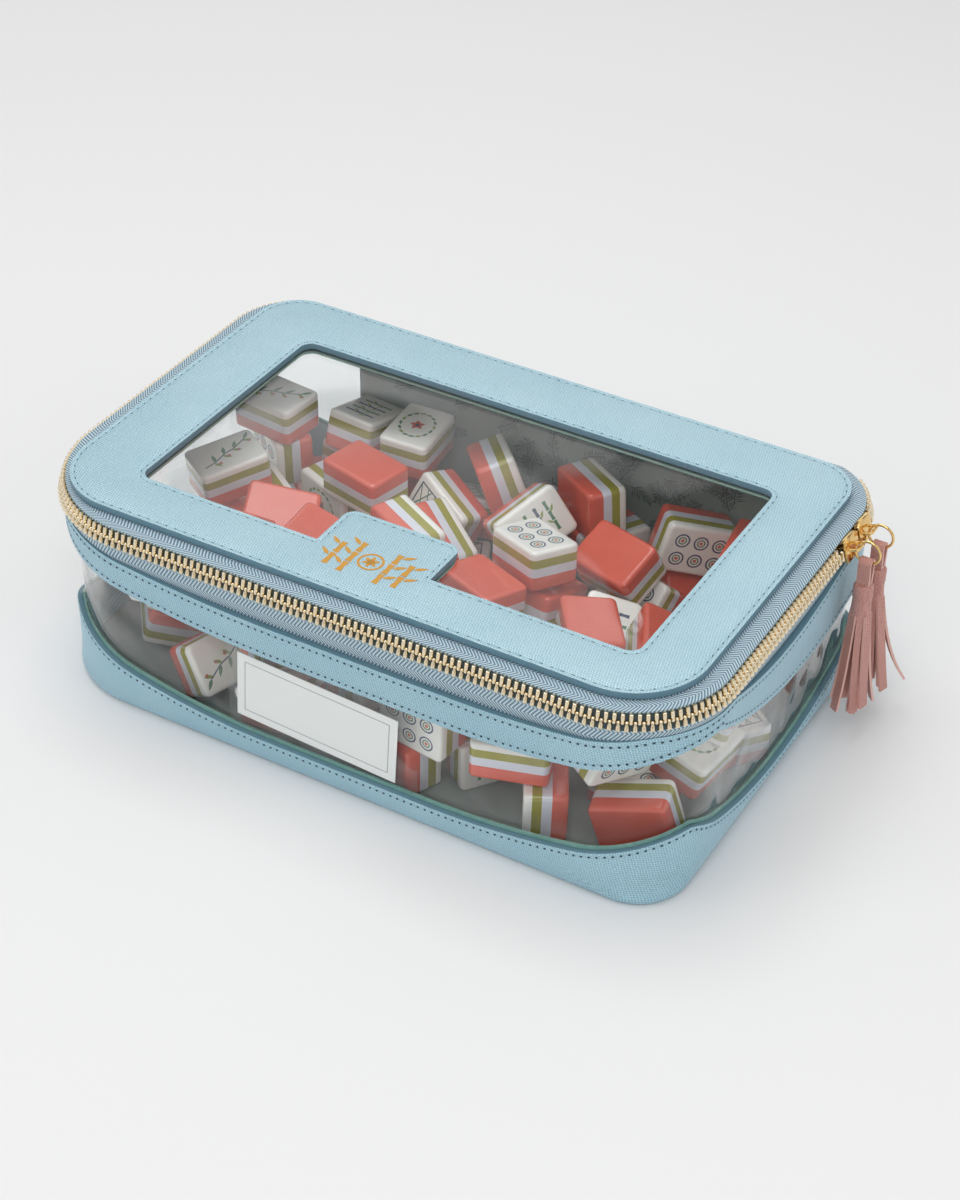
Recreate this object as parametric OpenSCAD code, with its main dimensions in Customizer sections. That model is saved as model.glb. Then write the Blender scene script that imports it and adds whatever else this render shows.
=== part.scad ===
// Clear zip-round case with a loose set of laminated tiles inside.
// Origin: middle of the underside. +X: along the long side, to the right.
// +Y: towards the hinge at the back. +Z: up.

/* [Case] */
// Length of the case at the leather band
case_l = 286; // [260:1:320]
// Depth of the case at the leather band
case_w = 183; // [160:1:210]
// Corner radius of the band, front left
corner_front_left = 50; // [42:1:56]
// Corner radius of the band, front right
corner_front_right = 40; // [36:1:46]
// Corner radius of the band, both back corners
corner_back = 30; // [26:1:36]
// Height of the lid's top face
case_h = 92.2; // [88:0.2:104]

/* [Base tray] */
// How far the tray's foot stands in from the band on each side
foot_side_in = 3; // [0:0.25:8]
// How far the tray's foot stands in from the band at front and back
foot_front_in = 2.25; // [0:0.25:6]
// Corner radius of the foot, front left
foot_front_left = 40; // [30:1:46]
// Corner radius of the foot, front right
foot_front_right = 22; // [16:1:30]
// Corner radius of the foot, both back corners
foot_back = 24; // [18:1:28]
// Radius of the turned edge at the floor
foot_edge = 3.5; // [2:0.5:5]
// Height of the tray's rim in the middle of the front
tray_rim_front = 12.8; // [9:0.2:18]
// Height of the tray's rim in the middle of each side
tray_rim_side = 12.5; // [9:0.2:18]
// Thickness of the tray's bottom leather
tray_floor = 1.8; // [1.2:0.1:3]
// Thickness of the tray's side at its rim
tray_side = 3; // [2.4:0.1:3.4]
// Width of the turned leather round the bottom panel
turn_in = 7.5; // [5:0.5:14]
// Thickness of the stiff board inside the bottom
board_t = 1.8; // [1:0.1:3]

/* [Clear wall] */
// Distance from the band's outline in to the wall
wall_inset = 3.55; // [3.2:0.05:5]
// Thickness of the clear sheet
wall_t = 0.8; // [0.5:0.05:1.2]
// Distance from each side of the band to the opaque panel in the back
back_panel_in = 45; // [40:1:70]
// Height of the clear hem above the tray's rim
hem_h = 1.6; // [1:0.1:3]
// Thickness of the clear hem
hem_t = 0.85; // [0.5:0.05:0.85]

/* [Band] */
// Height of the band's lower edge in the middle of the front
band_low_front = 55.2; // [52:0.2:58]
// Height of the band's lower edge on each side
band_low_side = 49; // [44:0.2:54]
// Height of the band's top edge in the middle of the front
band_top_front = 69.7; // [67:0.1:72]
// Height of the band's top edge on each side
band_top_side = 69.3; // [67:0.1:72]
// Highest point of the band's top edge, at the corners
band_top_max = 77.6; // [74:0.1:78.4]
// How far the band's face stands outside the case outline
band_proud = 0.6; // [0.3:0.1:1]

/* [Lid] */
// Distance from each side of the band in to the lid frame
lid_side_in = 8; // [6:0.25:10]
// Distance from the front and back of the band in to the lid frame
lid_front_in = 7.15; // [6:0.05:10]
// Corner radius of the lid frame, front
lid_corner_front = 30; // [22:1:38]
// Corner radius of the lid frame, back
lid_corner_back = 19; // [14:1:26]
// Thickness of the lid frame
lid_t = 2.6; // [2:0.1:3.4]
// Width of the lid frame beside the window, left and right together halved
frame_side_w = 28; // [24:0.5:50]
// Width of the lid frame before and behind the window, halved together
frame_front_w = 26.35; // [22:0.05:40]
// Offset of the window to the right
window_x = 3; // [-4:0.5:6]
// Offset of the window to the back
window_y = -3; // [-6:0.5:4]
// Corner radius of the window
window_r = 5; // [3:0.5:10]
// Width of the tab that reaches into the window
tab_l = 49; // [30:1:70]
// Reach of the tab into the window
tab_w = 23; // [12:0.5:30]
// Thickness of the clear sheet in the lid
pane_t = 0.8; // [0.5:0.05:1.2]
// Thickness of the leather lining under the lid frame
lining_t = 1; // [0.6:0.1:1.6]

/* [Zip] */
// Drop from the upper tape down to the middle of the chain
chain_drop = 3.2; // [3:0.1:3.8]
// How far the chain's middle stands outside the case outline
chain_out = 0.2; // [-0.2:0.1:0.6]
// Lean of the chain, top edge inwards
chain_lean = 18; // [12:1:22]
// Distance from one tooth to the next on the same tape
tooth_pitch = 2.86; // [2.6:0.02:3.4]
// Length of a tooth across the chain
tooth_l = 2.55; // [2:0.05:2.8]
// Thickness of a tooth through the chain
tooth_t = 3.4; // [2.6:0.1:3.6]
// Gap between the two rows of teeth, for the sliders' necks
tooth_gap = 1.5; // [1.3:0.1:1.8]
// Thickness of the woven tape
tape_t = 0.7; // [0.5:0.05:0.9]
// How far round each back corner the chain runs, in degrees
chain_end_turn = 54; // [40:1:58]

/* [Sliders] */
// Distance of the rear slider before the back corner's turn
rear_slider_in = 3; // [2.5:0.5:5]
// Distance from one parked slider to the other
slider_space = 12.5; // [12.2:0.1:14]
// Length of a slider
slider_l = 11; // [9:0.2:11.4]
// Width of a slider at its wide end
slider_w = 9.4; // [9:0.1:10.4]
// Thickness of a slider's plates
plate_t = 1; // [0.8:0.1:1.4]
// Space between a slider's plates
plate_gap = 4; // [3.8:0.1:4.4]
// Middle radius of a pull ring
ring_r = 4.9; // [4.2:0.1:5.6]
// Radius of a pull ring's wire
ring_wire_r = 0.55; // [0.4:0.05:0.7]

/* [Tassels] */
// Height of the loose tips above the floor
tip_z = 12; // [6:1:30]
// Height of the underside of a tassel's collar
collar_z = 65; // [60:1:67]
// Radius of the collar that gathers the strands
collar_r = 3.9; // [3.4:0.1:4.6]
// Height of the collar
collar_h = 6; // [4:0.5:8]
// Length of the sleeve under the collar before the leather is slit
sleeve_l = 8; // [4:0.5:14]
// Width of a strip of the skirt
strand_w = 3.2; // [2:0.1:3.6]
// Thickness of a strip
strand_t = 1; // [0.8:0.1:1.2]
// Width of the folded strap that hangs in the ring
loop_w = 5; // [2:0.2:5]

/* [Name card] */
// Length of the card
card_l = 71; // [60:1:74]
// Height of the card
card_h = 30.5; // [24:0.5:31]
// Thickness of the card
card_t = 0.35; // [0.25:0.05:0.4]
// How far the card lies turned in its pocket
card_turn = 3.2; // [0:0.2:4]
// Thickness of the pocket's sheet
pocket_t = 0.5; // [0.3:0.05:0.7]
// Distance of the pocket's welded end left of the middle
pocket_left = 47; // [46:1:60]
// Distance of the pocket's open end right of the middle
pocket_right = 37; // [30:1:50]
// Radius of the thumb notch in the pocket's open end
notch_r = 10; // [6:0.5:12]

/* [Tiles] */
// Length of a tile
tile_l = 30; // [26:0.5:32]
// Width of a tile
tile_w = 22; // [19:0.5:24]
// Thickness of the white face layer
face_t = 3.3; // [2.5:0.1:4.5]
// Thickness of the green layer
green_t = 3.6; // [2:0.1:4.5]
// Thickness of the white middle layer
white_t = 3.8; // [2:0.1:4.5]
// Thickness of the coral back layer
back_t = 6.1; // [4:0.1:7]
// Bevel on a tile's upright corners
tile_bevel = 1.4; // [0.6:0.1:3]
// Number of tiles dropped into the case
tile_count = 140; // [40:1:150]
// Height above the floor that the heap may reach
heap_h = 71; // [40:1:84]
// Number that starts the random heap
heap_seed = 7; // [1:1:99]

/* [Hidden] */
$fn = 64;

// Clearance between skins that lie on each other
skin_gap = 0.05;
// Running clearance of a part that moves
run_gap = 0.2;
// Gap between the tray's rim and the hem on it
rim_gap = 0.1;
// Clearance of the board inside the tray's sloping sides
board_gap = 1.3;
// Cut that reaches past what it cuts
past = 1;
// Steps round a corner, and length of a step along an edge, of lofted leather
corner_steps = 18;
edge_step = 5;
// Reach of the cuts that shape the curved edges
reach = 200;
// Radii of the curved edges: front edge left and right, side edge front
tray_rim_radii = [260, 300, 160];
band_low_radii = [450, 300, 165];
band_top_radii = [600, 390, 155];
// Where each edge's level middle starts and ends along the front
tray_rim_level = [-30, 40];
band_level = [-20, 50];
// Where each side edge is lowest
tray_rim_dip_y = 5;
band_low_dip_y = 22;
band_top_dip_y = 2;
// Colours
leather = "#A5CBDB";
lining = "#8A9C98";
clear_sheet = [0.9, 0.97, 1, 0.3];
mint = "#8FC7B5";
tape_blue = "#9FB4C8";
gold = "#E0B060";
teeth_gold = "#D9C6A0";
white = "#F4F2EC";
coral = "#E0705C";
olive = "#A8A030";

tray_foot_l = case_l - 2 * foot_side_in;
tray_foot_w = case_w - 2 * foot_front_in;
back_panel_l = case_l - 2 * back_panel_in;
lid_l = case_l - 2 * lid_side_in;
lid_w = case_w - 2 * lid_front_in;
window_l = lid_l - 2 * frame_side_w;
window_w = lid_w - 2 * frame_front_w;
rear_slider_y = case_w / 2 - corner_back - rear_slider_in;
front_slider_y = rear_slider_y - slider_space;
body_radii = [corner_front_left, corner_front_right, corner_back, corner_back];
foot_radii = [foot_front_left, foot_front_right, foot_back, foot_back];
lid_radii = [lid_corner_front, lid_corner_front, lid_corner_back,
    lid_corner_back];
// Inset of the leather skins that lie on the clear wall
skin_in = wall_inset - skin_gap;
skin_out = skin_in - hem_t;
tray_out = skin_in - tray_side;
// The tray reaches its full size here, and the clear wall starts inside it
tray_full_z = 11;
wall_foot_z = 9;
wall_top_z = band_top_front - 0.7;
back_half = back_panel_l / 2;
back_lap = 1.8;

// Levels of the lid's layers, from its top down
frame_z = case_h - lid_t;
pane_z = frame_z - pane_t;
upper_tape_z = pane_z - tape_t;
lining_z = upper_tape_z - lining_t;
chain_z = upper_tape_z - chain_drop;

// Lower tape: from its foot behind the band up to the teeth
tape_foot_z = 67;
tape_foot_in = skin_out + skin_gap;
half_chain = tooth_gap / 2 + tooth_l;
tape_top_z = chain_z - half_chain * cos(chain_lean)
    - (tape_t + 0.1) * sin(chain_lean);
tape_top_in = -chain_out - half_chain * sin(chain_lean);
// From here up the wings of the back panel stand clear inside the tape
wing_z = tape_foot_z + (tape_t + skin_gap) * (tape_top_z - tape_foot_z)
    / (tape_foot_in - tape_top_in);
// Lower edge of the lid's hinge strip, just above the back panel
flap_z = chain_z + 1.1;
// Edge of the upper tape, under the ends of the upper teeth
upper_tape_in = -chain_out + half_chain * sin(chain_lean) - 0.1;

module rounded(length, width, radii) {
    x = length / 2;
    y = width / 2;
    polygon([
        [-x + radii[0], -y], [x - radii[1], -y],
        [x, -y + radii[1]], [x, y - radii[2]],
        [x - radii[2], y], [-x + radii[3], y],
        [-x, y - radii[3]], [-x, -y + radii[0]]
    ]);
    translate([-x + radii[0], -y + radii[0]]) circle(radii[0]);
    translate([x - radii[1], -y + radii[1]]) circle(radii[1]);
    translate([x - radii[2], y - radii[2]]) circle(radii[2]);
    translate([-x + radii[3], y - radii[3]]) circle(radii[3]);
}

function smaller(radii, inset) = [for (r = radii) r - inset];

module outline(inset) {
    rounded(case_l - 2 * inset, case_w - 2 * inset, smaller(body_radii, inset));
}

module foot_outline(inset) {
    rounded(tray_foot_l - 2 * inset, tray_foot_w - 2 * inset,
        smaller(foot_radii, inset));
}

module lid_outline(inset) {
    rounded(lid_l - 2 * inset, lid_w - 2 * inset, smaller(lid_radii, inset));
}

module prism(inset, from_z, to_z) {
    translate([0, 0, from_z]) linear_extrude(to_z - from_z) outline(inset);
}

module ring(outer, inner, from_z, to_z) {
    translate([0, 0, from_z]) linear_extrude(to_z - from_z) difference() {
        outline(outer);
        outline(inner);
    }
}

module slice(z) {
    translate([0, 0, z]) linear_extrude(0.01) children();
}

// Area above an edge that is level in the middle and rises in arcs
module above_edge(level, low, r_left, r_right) {
    intersection() {
        translate([level[0], low + r_left]) circle(r_left);
        translate([level[0] - reach, low]) square([reach, reach / 2]);
    }
    translate([level[0], low]) square([level[1] - level[0], reach / 2]);
    intersection() {
        translate([level[1], low + r_right]) circle(r_right);
        translate([level[1], low]) square([reach, reach / 2]);
    }
}

module above_front(level, low, radii) {
    rotate([90, 0, 0]) linear_extrude(2 * reach, center = true)
        above_edge(level, low, radii[0], radii[1]);
}

module above_sides(dip_y, low, radius) {
    translate([0, dip_y, low + radius]) rotate([0, 90, 0])
        cylinder(h = 2 * reach, r = radius, center = true);
}

// Everything above the tray's rim, raised by lift
module above_tray(lift) {
    above_front(tray_rim_level, tray_rim_front + lift, tray_rim_radii);
    above_sides(tray_rim_dip_y, tray_rim_side + lift, tray_rim_radii[2]);
}

// Height of a curved edge above its lowest point, at u along it
function rise(u, level, r_left, r_right) =
    u < level[0] ? r_left - sqrt(r_left * r_left - (level[0] - u) ^ 2) :
    u > level[1] ? r_right - sqrt(r_right * r_right - (u - level[1]) ^ 2) : 0;

function edge_z(p, level, front, radii, dip_y, side) = min(
    front + rise(p[0], level, radii[0], radii[1]),
    side + rise(p[1], [dip_y, dip_y], radii[2], radii[2]));

function tray_rim_z(p) = edge_z(p, tray_rim_level, tray_rim_front,
    tray_rim_radii, tray_rim_dip_y, tray_rim_side);

function band_foot_z(p) = edge_z(p, band_level, band_low_front,
    band_low_radii, band_low_dip_y, band_low_side);

function band_top_z(p) = min(band_top_max, edge_z(p, band_level,
    band_top_front, band_top_radii, band_top_dip_y, band_top_side));

// Steps along each straight edge: front, right, back, left
edge_steps = [for (run = [
    case_l - corner_front_left - corner_front_right,
    case_w - corner_front_right - corner_back,
    case_l - 2 * corner_back,
    case_w - corner_front_left - corner_back]) ceil(run / edge_step)];

function corner_point(middle, r, out) =
    [middle[0] + r * cos(out), middle[1] + r * sin(out)];

// Points round a rounded rectangle, as many for any size
function around(length, width, radii) = let (
    x = length / 2,
    y = width / 2,
    middles = [
        [radii[0] - x, radii[0] - y], [x - radii[1], radii[1] - y],
        [x - radii[2], y - radii[2]], [radii[3] - x, y - radii[3]]])
    [for (k = [0 : 3]) let (
        from = 180 + 90 * k,
        leave = corner_point(middles[k], radii[k], from + 90),
        next = (k + 1) % 4,
        arrive = corner_point(middles[next], radii[next], from + 90))
        each concat(
            [for (j = [0 : corner_steps]) corner_point(middles[k], radii[k],
                from + 90 * j / corner_steps)],
            [for (j = [1 : edge_steps[k] - 1])
                leave + (arrive - leave) * j / edge_steps[k]])];

function body_line(inset) = around(case_l - 2 * inset, case_w - 2 * inset,
    smaller(body_radii, inset));

function foot_line(inset) = around(tray_foot_l - 2 * inset,
    tray_foot_w - 2 * inset, smaller(foot_radii, inset));

function level_at(points, z) = [for (p = points) [p[0], p[1], z]];

// Skin through closed lines, each joined to the next and the last to the first
module loft(lines) {
    n = len(lines[0]);
    m = len(lines);
    polyhedron([for (line = lines) each line], [
        for (i = [0 : m - 1]) for (j = [0 : n - 1]) let (
            a = i * n + j,
            b = i * n + (j + 1) % n,
            c = ((i + 1) % m) * n + j,
            d = ((i + 1) % m) * n + (j + 1) % n)
            each [[a, c, b], [b, c, d]]
    ]);
}

module back_gap(half, from_z) {
    translate([-half, 0, from_z]) cube([2 * half, case_w, case_h]);
}

// Where the chain has ended and leather closes the back
module back_zone(from_z) {
    y = case_w / 2 - corner_back * (1 - sin(chain_end_turn)) - 2;
    translate([-case_l, y, from_z]) cube([2 * case_l, case_w, case_h]);
}

module base_tray() {
    outer = body_line(tray_out);
    inner = body_line(skin_in);
    hole = body_line(turn_in - skin_gap);
    turn = foot_edge * (1 - cos(45));
    color(leather) loft([
        level_at(hole, 0),
        level_at(foot_line(foot_edge), 0),
        level_at(foot_line(turn), turn),
        level_at(foot_line(0), foot_edge),
        [for (p = outer) [p[0], p[1], min(tray_full_z, tray_rim_z(p) - 1)]],
        [for (p = outer) [p[0], p[1], tray_rim_z(p)]],
        [for (p = inner) [p[0], p[1], tray_rim_z(p)]],
        level_at(inner, wall_foot_z),
        level_at(foot_line(tray_side), tray_floor),
        level_at(hole, tray_floor)
    ]);
}

module base_panel() {
    color(leather) prism(turn_in, 0, tray_floor);
}

module base_board() {
    color(lining) translate([0, 0, tray_floor]) linear_extrude(board_t)
        foot_outline(tray_side + board_gap);
}

module clear_wall() {
    color(clear_sheet) difference() {
        ring(wall_inset, wall_inset + wall_t, wall_foot_z + skin_gap,
            wall_top_z);
        back_gap(back_half, 0);
    }
}

module wall_hem() {
    color(mint) difference() {
        intersection() {
            ring(skin_out, skin_in, tray_rim_side / 2, case_h / 2);
            above_tray(rim_gap);
        }
        above_tray(hem_h);
    }
}

module back_panel() {
    color(leather) intersection() {
        ring(tape_foot_in, skin_in, 0, chain_z + skin_gap * 6);
        above_tray(hem_h + skin_gap);
        union() {
            back_gap(back_half + back_lap, 0);
            back_zone(wing_z);
        }
    }
}

module back_lining() {
    color(lining) intersection() {
        ring(wall_inset, wall_inset + wall_t, wall_foot_z + skin_gap,
            tape_top_z);
        back_gap(back_half - run_gap, 0);
    }
}

// Solid inside the lower tape's outer face, shrunk by inset
module tape_core(inset, past_z) {
    rise = (tape_top_in - tape_foot_in) / (tape_top_z - tape_foot_z) * past_z;
    hull() {
        slice(tape_foot_z - past_z) outline(tape_foot_in - rise + inset);
        slice(tape_top_z + past_z) outline(tape_top_in + rise + inset);
    }
}

// Inset of the band's inner face at a height: straight, then along the tape
function band_in(z) = skin_out - max(0, z - tape_foot_z)
    * (tape_foot_in - tape_top_in) / (tape_top_z - tape_foot_z);

module leather_band() {
    outer = body_line(-band_proud);
    lows = [for (p = outer) band_foot_z(p)];
    tops = [for (p = outer) band_top_z(p)];
    bends = [for (i = [0 : len(outer) - 1])
        max(tape_foot_z, lows[i] + (tops[i] - lows[i]) / 4)];
    color(leather) loft([
        [for (i = [0 : len(outer) - 1]) [outer[i][0], outer[i][1], lows[i]]],
        [for (i = [0 : len(outer) - 1]) [outer[i][0], outer[i][1], tops[i]]],
        band_inner(tops),
        band_inner(bends),
        band_inner(lows)
    ]);
}

// Line on the band's inner face, at its own height at each point
function band_inner(heights) = let (
    out = body_line(0),
    in = body_line(10))
    [for (i = [0 : len(heights) - 1]) let (
        p = out[i] + (in[i] - out[i]) * band_in(heights[i]) / 10)
        [p[0], p[1], heights[i]]];

module lower_zip_tape() {
    color(tape_blue) difference() {
        tape_core(0, 0);
        tape_core(tape_t, past);
        back_gap(back_half + back_lap + run_gap, 0);
    }
}

// The chain's path: round the back left corner, down the left side, along the
// front, up the right side and round the back right corner
chain_x = case_l / 2 + chain_out;
chain_y = case_w / 2 + chain_out;
turn_left = corner_front_left + chain_out;
turn_right = corner_front_right + chain_out;
turn_back = corner_back + chain_out;
arc_back = turn_back * chain_end_turn * PI / 180;
to_left = arc_back + 2 * chain_y - turn_left - turn_back;
to_front = to_left + turn_left * PI / 2;
to_right = to_front + 2 * chain_x - turn_left - turn_right;
to_side = to_right + turn_right * PI / 2;
to_back = to_side + 2 * chain_y - turn_right - turn_back;
chain_l = to_back + arc_back;

// Place and heading on a corner: its middle, radius and outward direction
function on_turn(x, y, r, out) = [x + r * cos(out), y + r * sin(out), out + 90];

function degrees(length, r) = length / r * 180 / PI;

// Place and heading at distance s along the chain
function chain_at(s) =
    s < arc_back ? on_turn(turn_back - chain_x, chain_y - turn_back, turn_back,
        180 - chain_end_turn + degrees(s, turn_back)) :
    s < to_left ? [-chain_x, chain_y - turn_back - s + arc_back, -90] :
    s < to_front ? on_turn(turn_left - chain_x, turn_left - chain_y, turn_left,
        180 + degrees(s - to_left, turn_left)) :
    s < to_right ? [turn_left - chain_x + s - to_front, -chain_y, 0] :
    s < to_side ? on_turn(chain_x - turn_right, turn_right - chain_y,
        turn_right, -90 + degrees(s - to_right, turn_right)) :
    s < to_back ? [chain_x, turn_right - chain_y + s - to_side, 90] :
    on_turn(chain_x - turn_back, chain_y - turn_back, turn_back,
        degrees(s - to_back, turn_back));

// Frame on the chain: X along it, Z up across it, -Y out of it
module on_chain(place) {
    translate([place[0], place[1], chain_z]) rotate([0, 0, place[2]])
        rotate([-chain_lean, 0, 0]) children();
}

module across_chain(depth, middle = 0) {
    translate([0, -middle, 0]) rotate([90, 0, 0])
        linear_extrude(depth, center = true) children();
}

module tooth() {
    near = tooth_gap / 2;
    far = half_chain;
    head = near + tooth_l * 0.3;
    waist = near + tooth_l * 0.6;
    across_chain(tooth_t) polygon([
        [-0.5, near], [0.5, near], [0.85, head], [0.55, waist], [0.65, far],
        [-0.65, far], [-0.55, waist], [-0.85, head]
    ]);
}

module lower_zip_teeth() {
    color(teeth_gold)
    for (s = [tooth_pitch : tooth_pitch : chain_l - tooth_pitch])
        on_chain(chain_at(s)) mirror([0, 0, 1]) tooth();
}

// The upper row leaves out the parked sliders' stretch, so that the lid opens
module upper_zip_teeth() {
    apart = slider_l / 2 + tooth_pitch / 2;
    leave = to_back + front_slider_y - apart - chain_y + turn_back;
    join = to_back + rear_slider_y + apart + 2 - chain_y + turn_back;
    color(teeth_gold)
    for (s = [tooth_pitch * 1.5 : tooth_pitch : chain_l - tooth_pitch])
        if (s < leave || s > join) on_chain(chain_at(s)) tooth();
}

module zip_end_stops() {
    stop_l = 2.4;
    color(gold) for (s = [-stop_l * 0.4, chain_l + stop_l * 0.4])
        on_chain(s < 0 ? chain_at(0) : chain_at(chain_l))
            mirror([0, 0, 1]) across_chain(tooth_t)
            translate([s < 0 ? -stop_l : 0, tooth_gap / 2])
            square([stop_l, tooth_l]);
}

module slider_plate(reach_up, reach_down) {
    half = slider_l / 2;
    shoulder = slider_w / 2 - 0.4;
    polygon([
        [-half, -min(shoulder, reach_down)], [half - 3, -reach_down],
        [half, -reach_down + 1], [half, reach_up - 1],
        [half - 3, reach_up], [-half, min(shoulder, reach_up)]
    ]);
}

// Slider in the chain's frame, its wide end towards +X
module slider() {
    half = slider_w / 2;
    mid = plate_gap / 2;
    inner_up = 2.4;
    rail_w = half - half_chain - 0.2;
    neck_l = 3;
    neck_w = tooth_gap - 0.6;
    across_chain(plate_t, mid + plate_t / 2) slider_plate(half, half);
    across_chain(plate_t, -mid - plate_t / 2) slider_plate(inner_up, half - 0.4);
    across_chain(0.9, mid - 0.45) difference() {
        slider_plate(half, half);
        translate([-slider_l, -half + rail_w])
            square([2 * slider_l, slider_w - 2 * rail_w]);
    }
    across_chain(plate_gap) translate([slider_l / 2 - neck_l - 0.5, -neck_w / 2])
        square([neck_l, neck_w]);
    bail();
}

bail_l = 7;
bail_w = 1;
eye_l = 5;
eye_top = 6.2;
bail_top = 7.1;

module bail() {
    foot = plate_gap / 2 + plate_t;
    translate([0, 0, -bail_w / 2]) linear_extrude(bail_w) difference() {
        translate([-bail_l / 2, -bail_top]) square([bail_l, bail_top - foot]);
        translate([-eye_l / 2, -eye_top]) square([eye_l, eye_top]);
        for (side = [-1, 1]) translate([side * bail_l / 2, -bail_top])
            rotate(45) square(1.2, center = true);
    }
}

// Pivot of a pull ring in its slider's eye, and the ring's middle
ring_out = 4.7;
ring_fall = 16;
pivot_x = chain_x + ring_out * cos(chain_lean);
pivot_z = chain_z + ring_out * sin(chain_lean);
ring_x = pivot_x + ring_r * cos(ring_fall);
ring_z = pivot_z - ring_r * sin(ring_fall);
hang_z = ring_z - ring_r;

module front_slider() {
    color(gold) on_chain([chain_x, front_slider_y, 90]) slider();
}

module rear_slider() {
    color(gold) on_chain([chain_x, rear_slider_y, 90]) mirror([1, 0, 0]) slider();
}

module pull_ring(y) {
    color(gold) translate([ring_x, y, ring_z]) rotate([90, 0, 0])
        rotate_extrude() translate([ring_r, 0]) circle(ring_wire_r);
}

module front_ring() {
    pull_ring(front_slider_y);
}

module rear_ring() {
    pull_ring(rear_slider_y);
}

// Hole in the strap: wide enough for the ring's curve over the strap's width
loop_in = ring_wire_r + ring_r - sqrt(ring_r ^ 2 - (loop_w / 2) ^ 2) + 0.25;
loop_t = 1;
strap_half = 2;

module tassel_loop(y) {
    collar_top = collar_z + collar_h;
    drop = hang_z - collar_top;
    color(coral) translate([ring_x, y, 0]) {
        translate([0, 0, hang_z]) rotate([0, 90, 0])
            linear_extrude(loop_w, center = true) difference() {
                hull() {
                    circle(loop_in + loop_t);
                    translate([drop + 0.5, 0])
                        square([1, 2 * strap_half], center = true);
                }
                hull() {
                    circle(loop_in);
                    translate([drop - 1.5, 0])
                        square([1, strap_half - 1], center = true);
                }
            }
        translate([0, 0, collar_z]) cylinder(h = collar_h - 1, r = collar_r);
        translate([0, 0, collar_top - 1])
            cylinder(h = 1, r1 = collar_r, r2 = collar_r - 0.7);
    }
}

// A strip that hangs down and bends outwards a little more in each part
module strip(parts, part_l, bend) {
    translate([-strand_t / 2, -strand_w / 2, -part_l])
        cube([strand_t, strand_w, part_l + 0.3]);
    if (parts > 1) translate([0, 0, -part_l]) rotate([0, -bend, 0])
        strip(parts - 1, part_l, bend);
}

// An unslit sleeve, and strips in two rows that curl outwards and lean
module tassel_skirt(y, lean, seed) {
    fall = collar_z - sleeve_l - tip_z;
    parts = 3;
    rows = [[7, collar_r - 0.7, 1.5], [4, collar_r - 2.2, 0.5]];
    color(coral) translate([ring_x, y, collar_z]) {
        translate([0, 0, -sleeve_l]) cylinder(h = sleeve_l, r = collar_r - 0.3);
        translate([0, 0, 0.5 - sleeve_l])
            rotate([atan2(lean[1], fall), -atan2(lean[0], fall), 0])
            for (row = rows) for (i = [0 : row[0] - 1]) {
                u = rands(0, 1, 2, seed + 10 * row[0] + i);
                rotate([0, 0, (i + 0.5) * 360 / row[0]]) translate([row[1], 0, 0])
                    rotate([6 * (u[1] - 0.5), -row[2], 0])
                    strip(parts, fall / parts, row[2] * (1 + 1.6 * u[0]));
            }
    }
}

module front_tassel_loop() {
    tassel_loop(front_slider_y);
}

module rear_tassel_loop() {
    tassel_loop(rear_slider_y);
}

module front_tassel_skirt() {
    tassel_skirt(front_slider_y, [1, -3], 3);
}

module rear_tassel_skirt() {
    tassel_skirt(rear_slider_y, [4, 2.5], 8);
}

// Card pocket on the front of the clear wall
wall_face_y = -case_w / 2 + wall_inset;
card_middle = [-7.6, 32.7];
pocket_low = tray_rim_front + hem_h + 0.35;
pocket_high = band_low_front - run_gap;
weld_w = 2;
bottom_weld = 0.5;

module card_pocket() {
    room = card_t + 0.2;
    pocket_l = pocket_left + pocket_right;
    tall = pocket_high - pocket_low;
    color(clear_sheet) intersection() {
        union() {
            translate([0, wall_face_y - room, 0]) rotate([90, 0, 0])
                linear_extrude(pocket_t) difference() {
                    translate([-pocket_left, pocket_low]) square([pocket_l, tall]);
                    translate([pocket_right, card_middle[1] + 3])
                        circle(notch_r);
                }
            translate([-pocket_left, wall_face_y - room, pocket_low])
                cube([weld_w, room - skin_gap / 2, tall]);
            translate([-pocket_left, wall_face_y - room, pocket_low])
                cube([pocket_l, room - skin_gap / 2, bottom_weld]);
        }
        above_tray(hem_h + skin_gap);
    }
}

module name_card() {
    color(white)
    translate([card_middle[0], wall_face_y - card_t / 2 - 0.1, card_middle[1]])
        rotate([0, card_turn, 0])
        cube([card_l, card_t, card_h], center = true);
}

module window_hole(grow) {
    translate([window_x, window_y]) difference() {
        rounded(window_l + 2 * grow, window_w + 2 * grow,
            [for (i = [0 : 3]) window_r + grow]);
        translate([-1.5, -window_w / 2])
            rounded(tab_l - 2 * grow, 2 * (tab_w - grow),
                [for (i = [0 : 3]) window_r]);
    }
}

module lid_frame() {
    color(leather) translate([0, 0, frame_z]) linear_extrude(lid_t)
        difference() {
            lid_outline(0);
            window_hole(0);
        }
}

module lid_window() {
    color(clear_sheet) translate([0, 0, pane_z]) linear_extrude(pane_t)
        lid_outline(2);
}

module lid_lining() {
    color(lining) translate([0, 0, lining_z]) linear_extrude(lining_t)
        difference() {
            lid_outline(3);
            window_hole(0.5);
        }
}

// The lid turns about a line just outside the back panel's top
hinge_y = case_w / 2 - tape_foot_in + 0.25;

module upper_zip_tape() {
    color(tape_blue) difference() {
        translate([0, 0, upper_tape_z]) linear_extrude(tape_t) difference() {
            outline(upper_tape_in);
            lid_outline(12);
        }
        back_gap(back_half + back_lap, 0);
        translate([-case_l, hinge_y - skin_gap, 0])
            cube([2 * case_l, case_w, case_h]);
    }
}

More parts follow.
